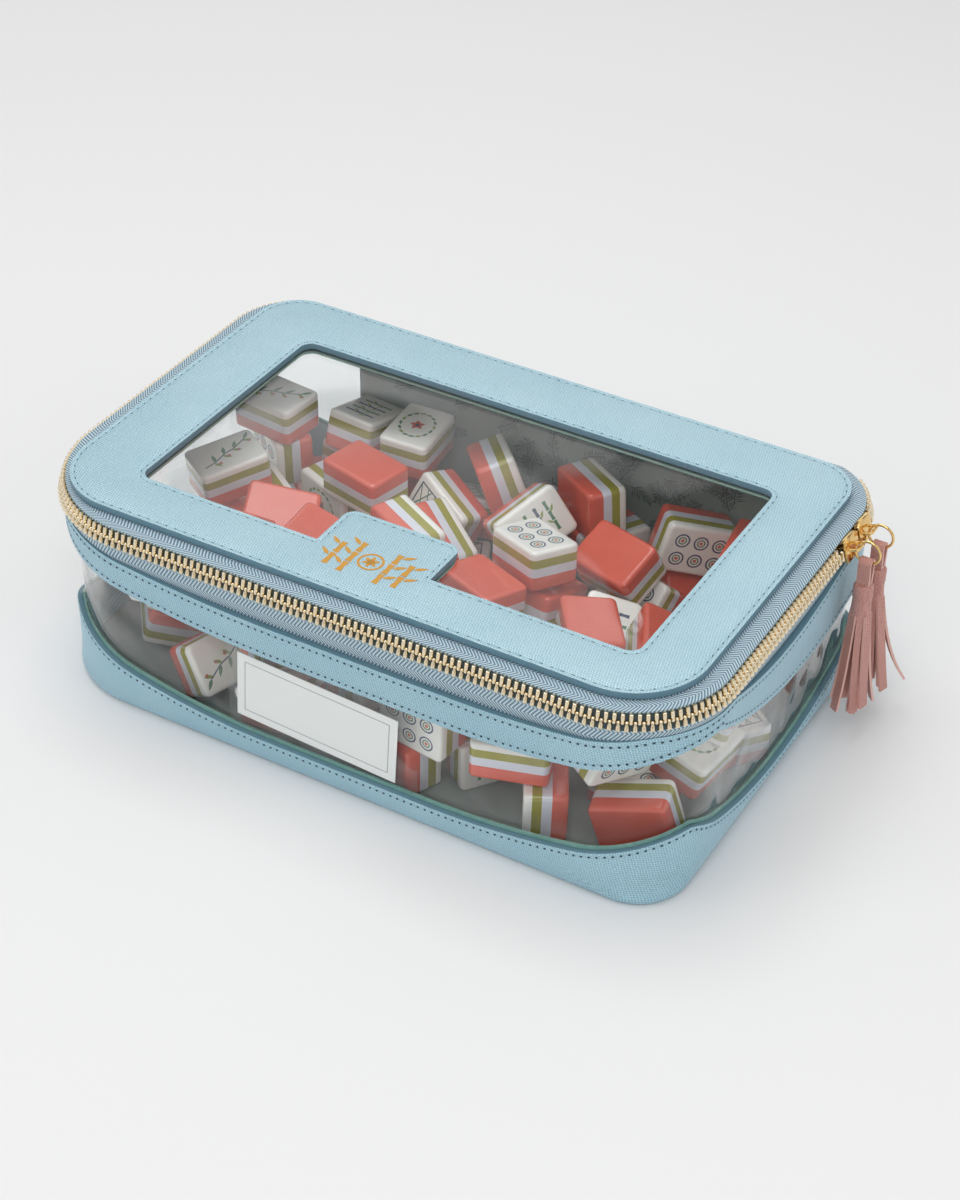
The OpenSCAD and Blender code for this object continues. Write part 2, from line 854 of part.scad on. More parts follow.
// Strip that carries the lid on the back panel; it turns on its lower edge
module hinge_flap() {
    lip_in = tape_foot_in + 0.95;
    half = back_half + back_lap - run_gap;
    color(leather) {
        intersection() {
            prism(tape_foot_in, upper_tape_z, pane_z);
            back_gap(half, 0);
            translate([-case_l, lid_w / 2 - 4.35, 0])
                cube([2 * case_l, case_w, case_h]);
        }
        intersection() {
            ring(tape_foot_in, lip_in, flap_z, upper_tape_z);
            back_zone(0);
        }
    }
}

// Heap of tiles: each is dropped straight down onto those before it, at the
// best of a few random places, and then shaken so that it settles lower
tile_h = face_t + green_t + white_t + back_t;
tile_half = [tile_l / 2 + 0.06, tile_w / 2 + 0.06, tile_h / 2 + 0.06];
heap_tries = 40;
heap_shakes = 36;
heap_floor = tray_floor + board_t;
heap_inset = wall_inset + wall_t + 1.8;

// A tile's three directions after its turns about X, Y and Z
function axes_of(t) = let (a = cos(t[0]), b = sin(t[0]), c = cos(t[1]),
    d = sin(t[1]), e = cos(t[2]), f = sin(t[2])) [
        [e * c, f * c, -d],
        [e * d * b - f * a, f * d * b + e * a, c * b],
        [e * d * a + f * b, f * d * a - e * b, c * a]
    ];

function span(n, axes) = abs(n * axes[0]) * tile_half[0]
    + abs(n * axes[1]) * tile_half[1] + abs(n * axes[2]) * tile_half[2];

function spans(axes) = [span([1, 0, 0], axes), span([0, 1, 0], axes),
    span([0, 0, 1], axes)];

// Height at which a tile that comes down at [x, y] meets tile a
function landing(a, axes, x, y) = let (
    dx = x - a[0][0],
    dy = y - a[0][1],
    walls = concat(a[1], axes, [for (i = a[1]) for (j = axes) cross(i, j)]),
    bands = [for (w = walls) let (
        n = w[2] < 0 ? -w : w,
        e = span(n, a[1]) + span(n, axes),
        s = n[0] * dx + n[1] * dy)
        n[2] > 0.02 ? [(-e - s) / n[2], (e - s) / n[2]] :
        abs(s) > e + 0.5 ? [1, -1] : [-1000, 1000]],
    low = max([for (b = bands) b[0]]),
    high = min([for (b = bands) b[1]]))
    high > low ? a[0][2] + high : 0;

function within(point) = let (
    radius = (point[1] > 0 ? corner_back :
        point[0] < 0 ? corner_front_left : corner_front_right) - heap_inset,
    x = abs(point[0]) - case_l / 2 + heap_inset,
    y = abs(point[1]) - case_w / 2 + heap_inset,
    over_x = x + radius,
    over_y = y + radius)
    x < 0 && y < 0 && (over_x < 0 || over_y < 0
        || over_x * over_x + over_y * over_y < radius * radius);

function fits(axes, x, y) = len([
    for (i = [-1, 1]) for (j = [-1, 1]) for (k = [-1, 1])
    let (p = axes[0] * i * tile_half[0] + axes[1] * j * tile_half[1]
        + axes[2] * k * tile_half[2])
    if (!within([p[0] + x, p[1] + y])) 1]) == 0;

// A tile let down at [x, y]: [middle, axes, turns, half sizes]
function dropped(heap, x, y, turns) = let (
    axes = axes_of(turns),
    half = spans(axes),
    z = !fits(axes, x, y) ? 1000 : max(concat([heap_floor + half[2]],
        [for (a = heap) if (abs(x - a[0][0]) < half[0] + a[3][0]
            && abs(y - a[0][1]) < half[1] + a[3][1])
            landing(a, axes, x, y)])))
    [[x, y, z], axes, turns, half];

function lowest(tries, i = 0, best = 0) = i == len(tries) ? tries[best] :
    lowest(tries, i + 1, tries[i][0][2] < tries[best][0][2] ? i : best);

function shaken(heap, tile, u, i) = i == heap_shakes ? tile : let (
    step = 1 - 0.8 * i / heap_shakes,
    v = [for (m = [0 : 4]) (u[5 * i + m] - 0.5) * 2 * step],
    moved = dropped(heap, tile[0][0] + 7 * v[0], tile[0][1] + 7 * v[1],
        tile[2] + [12 * v[2], 12 * v[3], 20 * v[4]]))
    shaken(heap, moved[0][2] < tile[0][2] ? moved : tile, u, i + 1);

function first_turns(u) = u[0] < 0.5 ?
    [(u[1] < 0.5 ? 0 : 180) + 10 * u[2], 10 * (u[3] - 0.5), 0] :
    u[0] < 0.72 ? [(u[1] < 0.5 ? 90 : -90) + 20 * (u[2] - 0.5), 0, 0] :
    [360 * u[1], 80 * (u[2] - 0.5), 0];

function new_tile(heap, i) = let (
    u = rands(0, 1, 4 + 3 * heap_tries + 5 * heap_shakes, heap_seed * 1000 + i),
    turns = first_turns(u),
    reach_x = case_l - 2 * heap_inset - tile_w,
    reach_y = case_w - 2 * heap_inset - tile_w,
    best = lowest([for (k = [0 : heap_tries - 1]) let (m = 4 + 3 * k)
        dropped(heap, reach_x * (u[m] - 0.5), reach_y * (u[m + 1] - 0.5),
            turns + [0, 0, 360 * u[m + 2]])]))
    shaken(heap, best, [for (m = [4 + 3 * heap_tries : len(u) - 1]) u[m]], 0);

function heaped(i, heap) = i == tile_count ? heap : let (
    tile = new_tile(heap, i))
    heaped(i + 1, tile[0][2] + tile[3][2] < heap_h ?
        concat(heap, [tile]) : heap);

module tile_layer(from, thick) {
    l = tile_l / 2;
    w = tile_w / 2;
    b = tile_bevel;
    for (tile = heaped(0, [])) translate(tile[0]) rotate(tile[2])
        translate([0, 0, tile_h / 2 - from - thick]) linear_extrude(thick)
        polygon([[b - l, -w], [l - b, -w], [l, b - w], [l, w - b],
            [l - b, w], [b - l, w], [-l, w - b], [-l, b - w]]);
}

module tile_faces() {
    color(white) tile_layer(0, face_t);
}

module tile_green_layers() {
    color(olive) tile_layer(face_t, green_t);
}

module tile_white_layers() {
    color(white) tile_layer(face_t + green_t, white_t);
}

module tile_backs() {
    color(coral) tile_layer(face_t + green_t + white_t, back_t);
}

base_tray();
base_panel();
base_board();
clear_wall();
wall_hem();
back_panel();
back_lining();
leather_band();
lower_zip_tape();
lower_zip_teeth();
zip_end_stops();
card_pocket();
name_card();
lid_frame();
lid_window();
lid_lining();
hinge_flap();
upper_zip_tape();
upper_zip_teeth();
front_slider();
front_ring();
front_tassel_loop();
front_tassel_skirt();
rear_slider();
rear_ring();
rear_tassel_loop();
rear_tassel_skirt();
tile_faces();
tile_green_layers();
tile_white_layers();
tile_backs();
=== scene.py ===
from math import atan2, copysign, cos, dist, pi, radians, sin, sqrt, tan, tau
import random
import bpy
import bmesh
import numpy as np
from mathutils import Matrix, Vector


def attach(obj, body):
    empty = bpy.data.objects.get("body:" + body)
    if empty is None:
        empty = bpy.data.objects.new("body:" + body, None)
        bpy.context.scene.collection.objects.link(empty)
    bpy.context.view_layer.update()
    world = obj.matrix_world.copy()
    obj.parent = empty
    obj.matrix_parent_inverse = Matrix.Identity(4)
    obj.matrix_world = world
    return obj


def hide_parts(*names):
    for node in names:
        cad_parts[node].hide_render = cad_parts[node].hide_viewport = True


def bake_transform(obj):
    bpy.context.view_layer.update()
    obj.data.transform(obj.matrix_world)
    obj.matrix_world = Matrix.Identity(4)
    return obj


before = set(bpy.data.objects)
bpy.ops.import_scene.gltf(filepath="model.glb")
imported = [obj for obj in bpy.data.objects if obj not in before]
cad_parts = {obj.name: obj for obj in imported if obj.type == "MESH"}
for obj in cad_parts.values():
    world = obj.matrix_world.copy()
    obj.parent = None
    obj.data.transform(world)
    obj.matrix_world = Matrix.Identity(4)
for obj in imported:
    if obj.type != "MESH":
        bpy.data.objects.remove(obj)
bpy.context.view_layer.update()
print("frame loaded")

mm = 0.001
weld = 0.004  # packed vertices closer than this, in mm, are one
signs = ((-1, -1), (1, -1), (1, 1), (-1, 1))


def linear(code, alpha=1.0):  # sRGB hex to the linear colour that a socket takes
    parts = [int(code[i:i + 2], 16) / 255 for i in (1, 3, 5)]
    parts = [c / 12.92 if c <= 0.04045 else ((c + 0.055) / 1.055) ** 2.4 for c in parts]
    return (*parts, alpha)


def socketValue(value):
    return linear(value) if isinstance(value, str) and value[:1] == "#" else value


# adds a node; a socket is named with _ for a space, or as nK for its place, and a node gives its first output
def addNode(tree, kind, settings=None, **links):
    made = tree.nodes.new(kind)
    for key, value in (settings or {}).items():
        setattr(made, key, value)
    for key, value in links.items():
        byPlace = key[0] == "n" and key[1:].isdigit()
        socket = made.inputs[int(key[1:])] if byPlace else made.inputs[key.replace("_", " ")]
        if isinstance(value, bpy.types.Node):
            value = value.outputs[0]
        if isinstance(value, bpy.types.NodeSocket):
            tree.links.new(value, socket)
        else:
            socket.default_value = socketValue(value)
    return made


def newMaterial(name, **sockets):
    material = bpy.data.materials.new(name)
    material.use_nodes = True
    tree = material.node_tree
    shader = tree.nodes["Principled BSDF"]
    for key, value in sockets.items():
        shader.inputs[key.replace("_", " ")].default_value = socketValue(value)
    return material, tree, shader


# the photograph's view: 73 mm lens on a 36 mm frame
view = {"place": (0.3944, -0.6678, 0.6186), "yaw": 29.80, "pitch": 37.03, "roll": 0.76, "lens": 73.23,
        "frame": 36, "nearest": 0.01}


def addCamera():
    yaw, pitch, roll = (radians(view[key]) for key in ("yaw", "pitch", "roll"))
    ahead = Vector((-sin(yaw) * cos(pitch), cos(yaw) * cos(pitch), -sin(pitch)))
    right = Vector((cos(yaw), sin(yaw), 0))
    up = right.cross(ahead)
    right, up = cos(roll) * right + sin(roll) * up, -sin(roll) * right + cos(roll) * up
    camera = bpy.data.objects.new("camera", bpy.data.cameras.new("camera"))
    camera.data.lens = view["lens"]
    camera.data.sensor_width = view["frame"]
    camera.data.clip_start = view["nearest"]
    turn = Matrix((right, up, -ahead)).transposed()
    camera.matrix_world = Matrix.Translation(view["place"]) @ turn.to_4x4()
    bpy.context.scene.collection.objects.link(camera)
    bpy.context.scene.camera = camera


addCamera()

# a pale room, whose reflections are broken into lighter and darker panels
room = {"world": 0.54, "backdrop": "#ECECEC", "floor": "#F1F1F1", "floorHalf": 4, "aim": (0, 0, 0.05),
        "panelScale": 3.6, "panelFrom": 0.46, "panelTo": 0.52, "panelDark": 0.22, "panelLight": 1.15}
softBoxes = {  # place, width and power
    "softBoxAbove": ((-0.25, 0.15, 1.5), 1.1, 7.2), "softBoxNear": ((0.4, -0.85, 1.25), 0.7, 3.5),
    "softBoxFront": ((-1.2, -1.1, 0.9), 0.9, 2.7), "softBoxRight": ((1.3, -0.2, 1.0), 0.8, 1.8)}


def addLamp(name, place, size, power):
    lamp = bpy.data.lights.new(name, "AREA")
    lamp.shape = "DISK"
    lamp.size = size
    lamp.energy = power
    held = bpy.data.objects.new(name, lamp)
    held.location = place
    held.rotation_euler = (Vector(room["aim"]) - Vector(place)).to_track_quat("-Z", "Y").to_euler()
    bpy.context.scene.collection.objects.link(held)


def addRoom():
    scene = bpy.context.scene
    scene.view_settings.view_transform = "Standard"
    scene.world = bpy.data.worlds.new("paleRoom")
    scene.world.use_nodes = True
    tree = scene.world.node_tree
    lighting = tree.nodes["Background"]
    lighting.inputs["Color"].default_value = linear("#FFFFFF")
    lighting.inputs["Strength"].default_value = room["world"]
    path = addNode(tree, "ShaderNodeLightPath")
    seen = path.outputs["Is Camera Ray"]
    for ray in ("Is Transmission Ray", "Is Glossy Ray"):
        seen = addNode(tree, "ShaderNodeMath", {"operation": "MAXIMUM"}, n0=seen, n1=path.outputs[ray])
    ways = addNode(tree, "ShaderNodeTexCoord").outputs["Generated"]
    panels = addNode(tree, "ShaderNodeTexNoise", Vector=ways, Scale=room["panelScale"], Detail=0.0)
    panels = addNode(tree, "ShaderNodeMapRange", {"interpolation_type": "SMOOTHSTEP"},
                     Value=panels.outputs["Fac"], From_Min=room["panelFrom"], From_Max=room["panelTo"],
                     To_Min=room["panelDark"], To_Max=room["panelLight"])
    mirrored = addNode(tree, "ShaderNodeMix", n0=path.outputs["Is Glossy Ray"], n2=1.0, n3=panels)
    pale = addNode(tree, "ShaderNodeBackground", Color=room["backdrop"], Strength=mirrored)
    mixed = addNode(tree, "ShaderNodeMixShader", n0=seen, n1=lighting, n2=pale)
    tree.links.new(mixed.outputs[0], tree.nodes["World Output"].inputs["Surface"])
    for name, (place, size, power) in softBoxes.items():
        addLamp(name, place, size, power)
    half = room["floorHalf"]
    mesh = bpy.data.meshes.new("floor")
    mesh.from_pydata([(x * half, y * half, 0) for x, y in signs], [], [(0, 1, 2, 3)])
    floor = bpy.data.objects.new("floor", mesh)
    scene.collection.objects.link(floor)
    mesh.materials.append(newMaterial("matteBackdropPaper", Base_Color=room["floor"], Roughness=0.9)[0])


addRoom()
print("camera and room ready")

# sizes that the dressing shares with the source, in millimetres
case = {"length": 286, "width": 183, "corners": (50, 40, 30, 30), "bandProud": 0.6, "trayIn": 0.5,
        "back": 88.8, "backHalf": 97.6}
lid = {"length": 270, "width": 168.7, "corners": (30, 30, 19, 19), "top": 92.2}
window = {"left": -104, "right": 110, "front": -61, "back": 55, "corner": 5,
          "tabLeft": -23, "tabRight": 26, "tabBack": -38, "tabCorner": 2.5}
rims = {  # level stretch, height at the front, radii, lowest place of the sides and height there
    "tray": ((-30, 40), 12.8, (260, 300, 160), 5, 12.5),
    "bandFoot": ((-20, 50), 55.2, (450, 300, 165), 22, 49),
    "bandTop": ((-20, 50), 69.7, (600, 390, 155), 2, 69.3)}
bandCap = 77.6  # the band rises no higher than this
straightStep = 1.5  # steps along a straight run are this much longer than round a corner


def filletLine(corners, step=1.5):  # closed line through (x, y, radius), as (x, y, outward x, outward y)
    line = []
    for k, (x, y, r) in enumerate(corners):
        here = Vector((x, y))
        before = (here - Vector(corners[k - 1][:2])).normalized()
        after = (Vector(corners[(k + 1) % len(corners)][:2]) - here).normalized()
        turn = atan2(before.cross(after), before.dot(after))
        reach = r * tan(abs(turn) / 2)
        side = copysign(1, turn)
        middle = here - before * reach + Vector((-before.y, before.x)) * r * side
        start = atan2(-before.x * side, before.y * side)
        steps = max(4, round(abs(turn) * r / step))
        for j in range(steps + 1):
            a = start + turn * j / steps
            line.append((middle.x + r * cos(a), middle.y + r * sin(a), side * cos(a), side * sin(a)))
    full = []
    for k, point in enumerate(line):
        after = line[(k + 1) % len(line)]
        count = max(1, round(dist(point[:2], after[:2]) / step / straightStep))
        for j in range(count):
            full.append(tuple(a + (b - a) * j / count for a, b in zip(point, after)))
    return full


def boxCorners(size, inset=0.0):
    x, y = size["length"] / 2 - inset, size["width"] / 2 - inset
    return [(x * sx, y * sy, radius - inset) for (sx, sy), radius in zip(signs, size["corners"])]


def rise(u, low, high, left, right):  # of an edge that curves up on both sides of a level stretch
    if u < low:
        return left - sqrt(left ** 2 - (low - u) ** 2)
    return right - sqrt(right ** 2 - (u - high) ** 2) if u > high else 0


def rimHeight(name, x, y):
    level, front, radii, dip, side = rims[name]
    height = min(front + rise(x, *level, *radii[:2]), side + rise(y, dip, dip, radii[2], radii[2]))
    return min(bandCap, height) if name == "bandTop" else height


# even spots on a line of (place, facing); a spot is its place, the way along, the way it faces and its kind
def walk(line, pitch, closed=True, first=0.0):
    places = [Vector(p) for p, _ in line]
    runs = [(places[(k + 1) % len(places)] - p).length for k, p in enumerate(places)]
    if not closed:
        runs[-1] = 0
    total = sum(runs)
    pitch = total / round(total / pitch) if closed else pitch
    spots, k, gone, at = [], 0, 0.0, first
    while at < total - 1e-6:
        while gone + runs[k] < at:
            gone += runs[k]
            k += 1
        after = (k + 1) % len(places)
        share = (at - gone) / runs[k]
        along = (places[after] - places[k]).normalized()
        facing = Vector(line[k][1]).lerp(Vector(line[after][1]), share)
        spots.append((places[k].lerp(places[after], share), along, facing, 0))
        at += pitch
    return spots


def linked(name, mesh):
    piece = bpy.data.objects.new(name, mesh)
    bpy.context.scene.collection.objects.link(piece)
    return piece


def meshPiece(name, points, faces, *materials):  # points in mm
    mesh = bpy.data.meshes.new(name)
    mesh.from_pydata([tuple(c * mm for c in p) for p in points], [], faces)
    for material in materials:
        mesh.materials.append(material)
    return linked(name, mesh)


def hoop(base, n):  # faces between a ring of n points and the next
    return [(base + j, base + (j + 1) % n, base + n + (j + 1) % n, base + n + j) for j in range(n)]


def smooth(mesh, angle=35):
    mesh.shade_smooth()
    mesh.set_sharp_from_angle(angle=radians(angle))


def facedOutward(mesh):
    work = bmesh.new()
    work.from_mesh(mesh)
    bmesh.ops.recalc_face_normals(work, faces=work.faces)
    work.to_mesh(mesh)
    work.free()


def finished(piece, body, slot, *nodes):
    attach(piece, body)
    if nodes:
        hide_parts(*nodes)
    return piece


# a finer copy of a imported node: rounded edges, and a material picked by where a face lies
def dressed(node, slot, body, materials, pick=None, bevel=0.0, angle=35, shape=None):
    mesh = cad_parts[node].data.copy()
    mesh.materials.clear()
    for material in materials:
        mesh.materials.append(material)
    work = bmesh.new()
    work.from_mesh(mesh)
    bmesh.ops.remove_doubles(work, verts=work.verts, dist=weld * mm)
    if bevel:
        sharp = [edge for edge in work.edges if edge.calc_face_angle(0) > radians(angle)]
        bmesh.ops.bevel(work, geom=sharp, offset=bevel * mm, segments=2, profile=0.6, affect="EDGES",
                        clamp_overlap=True)
    if shape:
        shape(work)
    for face in work.faces:
        face.material_index = pick(face.calc_center_median() / mm, face.normal) if pick else 0
    work.to_mesh(mesh)
    work.free()
    if "custom_normal" in mesh.attributes:
        mesh.attributes.remove(mesh.attributes["custom_normal"])
    smooth(mesh, angle)
    return finished(linked(node + "Shown", mesh), body, slot, node)


def setOutTree():  # shapes on points: the attribute along turns a shape's X axis and facing its Z axis
    tree = bpy.data.node_groups.new("setOut", "GeometryNodeTree")
    for name, kind in (("Points", "Geometry"), ("Shapes", "Collection"), ("Finish", "Material"),
                       ("Tilt", "Float"), ("Seed", "Int")):
        tree.interface.new_socket(name, in_out="INPUT", socket_type="NodeSocket" + kind)
    tree.interface.new_socket("Geometry", in_out="OUTPUT", socket_type="NodeSocketGeometry")
    given = addNode(tree, "NodeGroupInput").outputs
    along, facing, which = (
        addNode(tree, "GeometryNodeInputNamedAttribute", {"data_type": kind}, Name=name).outputs["Attribute"]
        for name, kind in (("along", "FLOAT_VECTOR"), ("facing", "FLOAT_VECTOR"), ("kind", "INT")))
    turned = addNode(tree, "FunctionNodeAlignRotationToVector", {"axis": "X"}, Vector=along)
    turned = addNode(tree, "FunctionNodeAlignRotationToVector", {"axis": "Z", "pivot_axis": "X"},
                     Rotation=turned, Vector=facing)
    chance = addNode(tree, "FunctionNodeRandomValue", {"data_type": "FLOAT_VECTOR"},
                     n0=(-1, -1, -1), n1=(1, 1, 1), Seed=given["Seed"])
    scaled = addNode(tree, "ShaderNodeVectorMath", {"operation": "SCALE"}, n0=chance, Scale=given["Tilt"])
    wobble = addNode(tree, "FunctionNodeEulerToRotation", Euler=scaled)
    turned = addNode(tree, "FunctionNodeRotateRotation", {"rotation_space": "LOCAL"},
                     Rotation=turned, Rotate_By=wobble)
    shapes = addNode(tree, "GeometryNodeCollectionInfo", Collection=given["Shapes"],
                     Separate_Children=True, Reset_Children=True)
    placed = addNode(tree, "GeometryNodeInstanceOnPoints", Points=given["Points"], Instance=shapes,
                     Pick_Instance=True, Instance_Index=which, Rotation=turned)
    real = addNode(tree, "GeometryNodeRealizeInstances", Geometry=placed)
    painted = addNode(tree, "GeometryNodeSetMaterial", Geometry=real, Material=given["Finish"])
    addNode(tree, "NodeGroupOutput", Geometry=painted)
    return tree


setOutNodes = setOutTree()


# one plain mesh of the shapes at the spots
def setOut(name, spots, shapes, material, tilt=0.0, seed=1, angle=35):
    base = bpy.data.meshes.new(name + "Points")
    base.from_pydata([tuple(spot[0] * mm) for spot in spots], [], [])
    for place, label in ((1, "along"), (2, "facing")):
        base.attributes.new(label, "FLOAT_VECTOR", "POINT").data.foreach_set(
            "vector", np.array([tuple(spot[place]) for spot in spots], np.float32).ravel())
    base.attributes.new("kind", "INT", "POINT").data.foreach_set("value", [spot[3] for spot in spots])
    holder = linked(name + "Points", base)
    group = bpy.data.collections.new(name + "Shapes")
    bpy.context.scene.collection.children.link(group)
    for shape in shapes:
        bpy.context.scene.collection.objects.unlink(shape)
        group.objects.link(shape)
    modifier = holder.modifiers.new("setOut", "NODES")
    modifier.node_group = setOutNodes
    values = {"Shapes": group, "Finish": material, "Tilt": tilt, "Seed": seed}
    for item in setOutNodes.interface.items_tree:
        if item.in_out == "INPUT" and item.name in values:
            modifier[item.identifier] = values[item.name]
    mesh = bpy.data.meshes.new_from_object(holder.evaluated_get(bpy.context.evaluated_depsgraph_get()))
    for shape in shapes:
        bpy.data.objects.remove(shape)
    bpy.data.collections.remove(group)
    bpy.data.objects.remove(holder)
    for label in ("along", "facing", "kind"):
        if label in mesh.attributes:
            mesh.attributes.remove(mesh.attributes[label])
    mesh.materials.clear()
    mesh.materials.append(material)
    smooth(mesh, angle)
    return linked(name, mesh)


# the base colour and the relief of a surface, both from one height
def coat(tree, shader, share, dark, light, height, depth, strength=1.0):
    tint = addNode(tree, "ShaderNodeMix", {"data_type": "RGBA"}, n0=share, n6=dark, n7=light)
    tree.links.new(tint.outputs[2], shader.inputs["Base Color"])
    bump = addNode(tree, "ShaderNodeBump", Height=height, Strength=strength, Distance=depth * mm)
    tree.links.new(bump.outputs[0], shader.inputs["Normal"])


# coated split leather, roller-pressed with crossed lines under a pearl finish: a faint shimmer that shifts
saffiano = {"turns": (31, -38), "depth": 0.18, "wander": 2.6, "contrast": 0.95,
            "cloud": 33.33, "cloudDepth": 0.4, "cloudMiddle": -0.28}
waveUnit = tau / (10 * sqrt(2))  # a diagonal wave at scale 1 repeats after this length


def saffianoLeather(name, light, dark, rough=0.4, pitch=1.0332, onSides=False):
    material, tree, shader = newMaterial(name, Metallic=0.28, Roughness=rough, Coat_Weight=0.12,
                                         Coat_Roughness=0.3)
    place = addNode(tree, "ShaderNodeTexCoord").outputs["Object"]
    flat = place
    if onSides:  # the lines follow the outline
        run = addNode(tree, "ShaderNodeAttribute", {"attribute_name": "run"}).outputs["Vector"]
        flat = addNode(tree, "ShaderNodeVectorMath", {"operation": "SCALE"}, Vector=run, Scale=mm)
    lines = []
    for turn in saffiano["turns"]:
        turned = addNode(tree, "ShaderNodeMapping", Vector=flat, Rotation=(0, 0, radians(turn)))
        wave = addNode(tree, "ShaderNodeTexWave", {"bands_direction": "DIAGONAL"}, Vector=turned, Detail=2.0,
                       Detail_Scale=1.5, Scale=waveUnit / (pitch * mm), Distortion=saffiano["wander"])
        lines.append(wave.outputs["Fac"])
    crossed = addNode(tree, "ShaderNodeMath", {"operation": "MAXIMUM"}, n0=lines[0], n1=lines[1])
    cloud = addNode(tree, "ShaderNodeTexNoise", Vector=place, Scale=1000 / saffiano["cloud"], Detail=3.0)
    cloud = addNode(tree, "ShaderNodeMath", {"operation": "MULTIPLY_ADD"}, n0=cloud.outputs["Fac"],
                    n1=saffiano["cloudDepth"], n2=saffiano["cloudMiddle"])
    share = addNode(tree, "ShaderNodeMath", {"operation": "MULTIPLY_ADD", "use_clamp": True}, n0=crossed,
                    n1=saffiano["contrast"], n2=cloud)
    coat(tree, shader, share, dark, light, crossed, saffiano["depth"])
    return material


def fineSurface(name, light, dark, grain, depth, **sockets):  # grain and depth of its faint unevenness in mm
    material, tree, shader = newMaterial(name, **sockets)
    place = addNode(tree, "ShaderNodeTexCoord").outputs["Object"]
    noise = addNode(tree, "ShaderNodeTexNoise", Vector=place, Scale=1000 / grain, Detail=4.0).outputs["Fac"]
    coat(tree, shader, noise, dark, light, noise, depth)
    return material


# pressed clear vinyl: see-through from the front, glossy at a slant, with soft waves in its reflections
gloss = {"power": 3.4, "most": 0.9, "rough": 0.05}


def clearSheet(name, tint, haze, wave, spacing):  # height and spacing of the waves in mm
    material, tree, shader = newMaterial(name, Base_Color="#FFFFFF", Metallic=1.0, Roughness=gloss["rough"])
    place = addNode(tree, "ShaderNodeTexCoord").outputs["Object"]
    waves = addNode(tree, "ShaderNodeTexNoise", Vector=place, Scale=1000 / spacing, Detail=1.0)
    bump = addNode(tree, "ShaderNodeBump", Height=waves.outputs["Fac"], Distance=wave * mm)
    tree.links.new(bump.outputs[0], shader.inputs["Normal"])
    slant = addNode(tree, "ShaderNodeLayerWeight", Blend=0.5, Normal=bump).outputs["Facing"]
    slant = addNode(tree, "ShaderNodeMath", {"operation": "POWER"}, n0=slant, n1=gloss["power"])
    share = addNode(tree, "ShaderNodeMath", {"operation": "MULTIPLY_ADD"}, n0=slant, n1=gloss["most"], n2=haze)
    through = addNode(tree, "ShaderNodeBsdfTransparent", Color=tint)
    mixed = addNode(tree, "ShaderNodeMixShader", n0=share, n1=through, n2=shader)
    tree.links.new(mixed.outputs[0], tree.nodes["Material Output"].inputs["Surface"])
    return material


# woven polyester in a herringbone: rows of slanted yarns that turn back and forth across the tape, matt
weave = {"row": 3.3, "slant": 0.95, "yarn": 1.5, "twist": 0.5, "twistDepth": 0.15, "depth": 0.25,
         "strength": 0.7}


def wovenTape(name, light, dark):
    material, tree, shader = newMaterial(name, Roughness=0.75, Sheen_Weight=0.25, Sheen_Roughness=0.4)
    run = addNode(tree, "ShaderNodeAttribute", {"attribute_name": "run"})
    run = addNode(tree, "ShaderNodeSeparateXYZ", Vector=run.outputs["Vector"])
    row = addNode(tree, "ShaderNodeMath", {"operation": "PINGPONG"}, n0=run.outputs[1], n1=weave["row"])
    yarns = addNode(tree, "ShaderNodeMath", {"operation": "MULTIPLY_ADD"}, n0=row, n1=weave["slant"], n2=run)
    waves = []
    for place, pitch in ((yarns, weave["yarn"]), (run.outputs[1], weave["twist"])):
        turn = addNode(tree, "ShaderNodeMath", {"operation": "MULTIPLY"}, n0=place, n1=tau / pitch)
        wave = addNode(tree, "ShaderNodeMath", {"operation": "SINE"}, n0=turn)
        waves.append(addNode(tree, "ShaderNodeMath", {"operation": "MULTIPLY_ADD"}, n0=wave, n1=0.5, n2=0.5))
    fine = addNode(tree, "ShaderNodeMath", {"operation": "MULTIPLY_ADD"}, n0=waves[1], n1=weave["twistDepth"],
                   n2=1 - weave["twistDepth"])
    height = addNode(tree, "ShaderNodeMath", {"operation": "MULTIPLY"}, n0=waves[0], n1=fine)
    coat(tree, shader, height, dark, light, height, weave["depth"], weave["strength"])
    return material


# screen-printed ink, one coat for all designs: the mesh says which colour goes where
inkWear = {"grain": 1.1111, "share": 0.12}


def printedInk():
    material, tree, shader = newMaterial("screenPrintedInk", Roughness=0.35)
    colour = addNode(tree, "ShaderNodeAttribute", {"attribute_name": "ink"})
    place = addNode(tree, "ShaderNodeTexCoord").outputs["Object"]
    noise = addNode(tree, "ShaderNodeTexNoise", Vector=place, Scale=1000 / inkWear["grain"], Detail=2.0)
    worn = addNode(tree, "ShaderNodeMix", {"data_type": "RGBA", "blend_type": "SCREEN"}, n0=inkWear["share"],
                   n6=colour.outputs["Color"], n7=noise.outputs["Color"])
    tree.links.new(worn.outputs[2], shader.inputs["Base Color"])
    return material


leather = saffianoLeather("saffianoCoatedLeather", "#CAE6EF", "#8AB8C9")
# the same leather on the upright parts, tinted a little darker than the lid's copy: painted shade on sides
# turned from the light; its lines follow the outline
leatherShadedSide = saffianoLeather("saffianoCoatedLeatherShadedSides", "#BEDFEB", "#7CAEC4", onSides=True)
leatherRose = saffianoLeather("saffianoRoseLeather", "#E2AEA2", "#B0716A", 0.5, 0.6942)
# cut leather shows its fibres, so it is matt and pale; a painted edge has a rubbed-on dye
rawEdge = fineSurface("cutLeatherEdge", "#EBC8BE", "#D3A498", 0.4, 0.03, Roughness=0.8)
edgePaint = fineSurface("paintedLeatherEdge", "#7699A8", "#577C8D", 0.7, 0.03, Roughness=0.38)
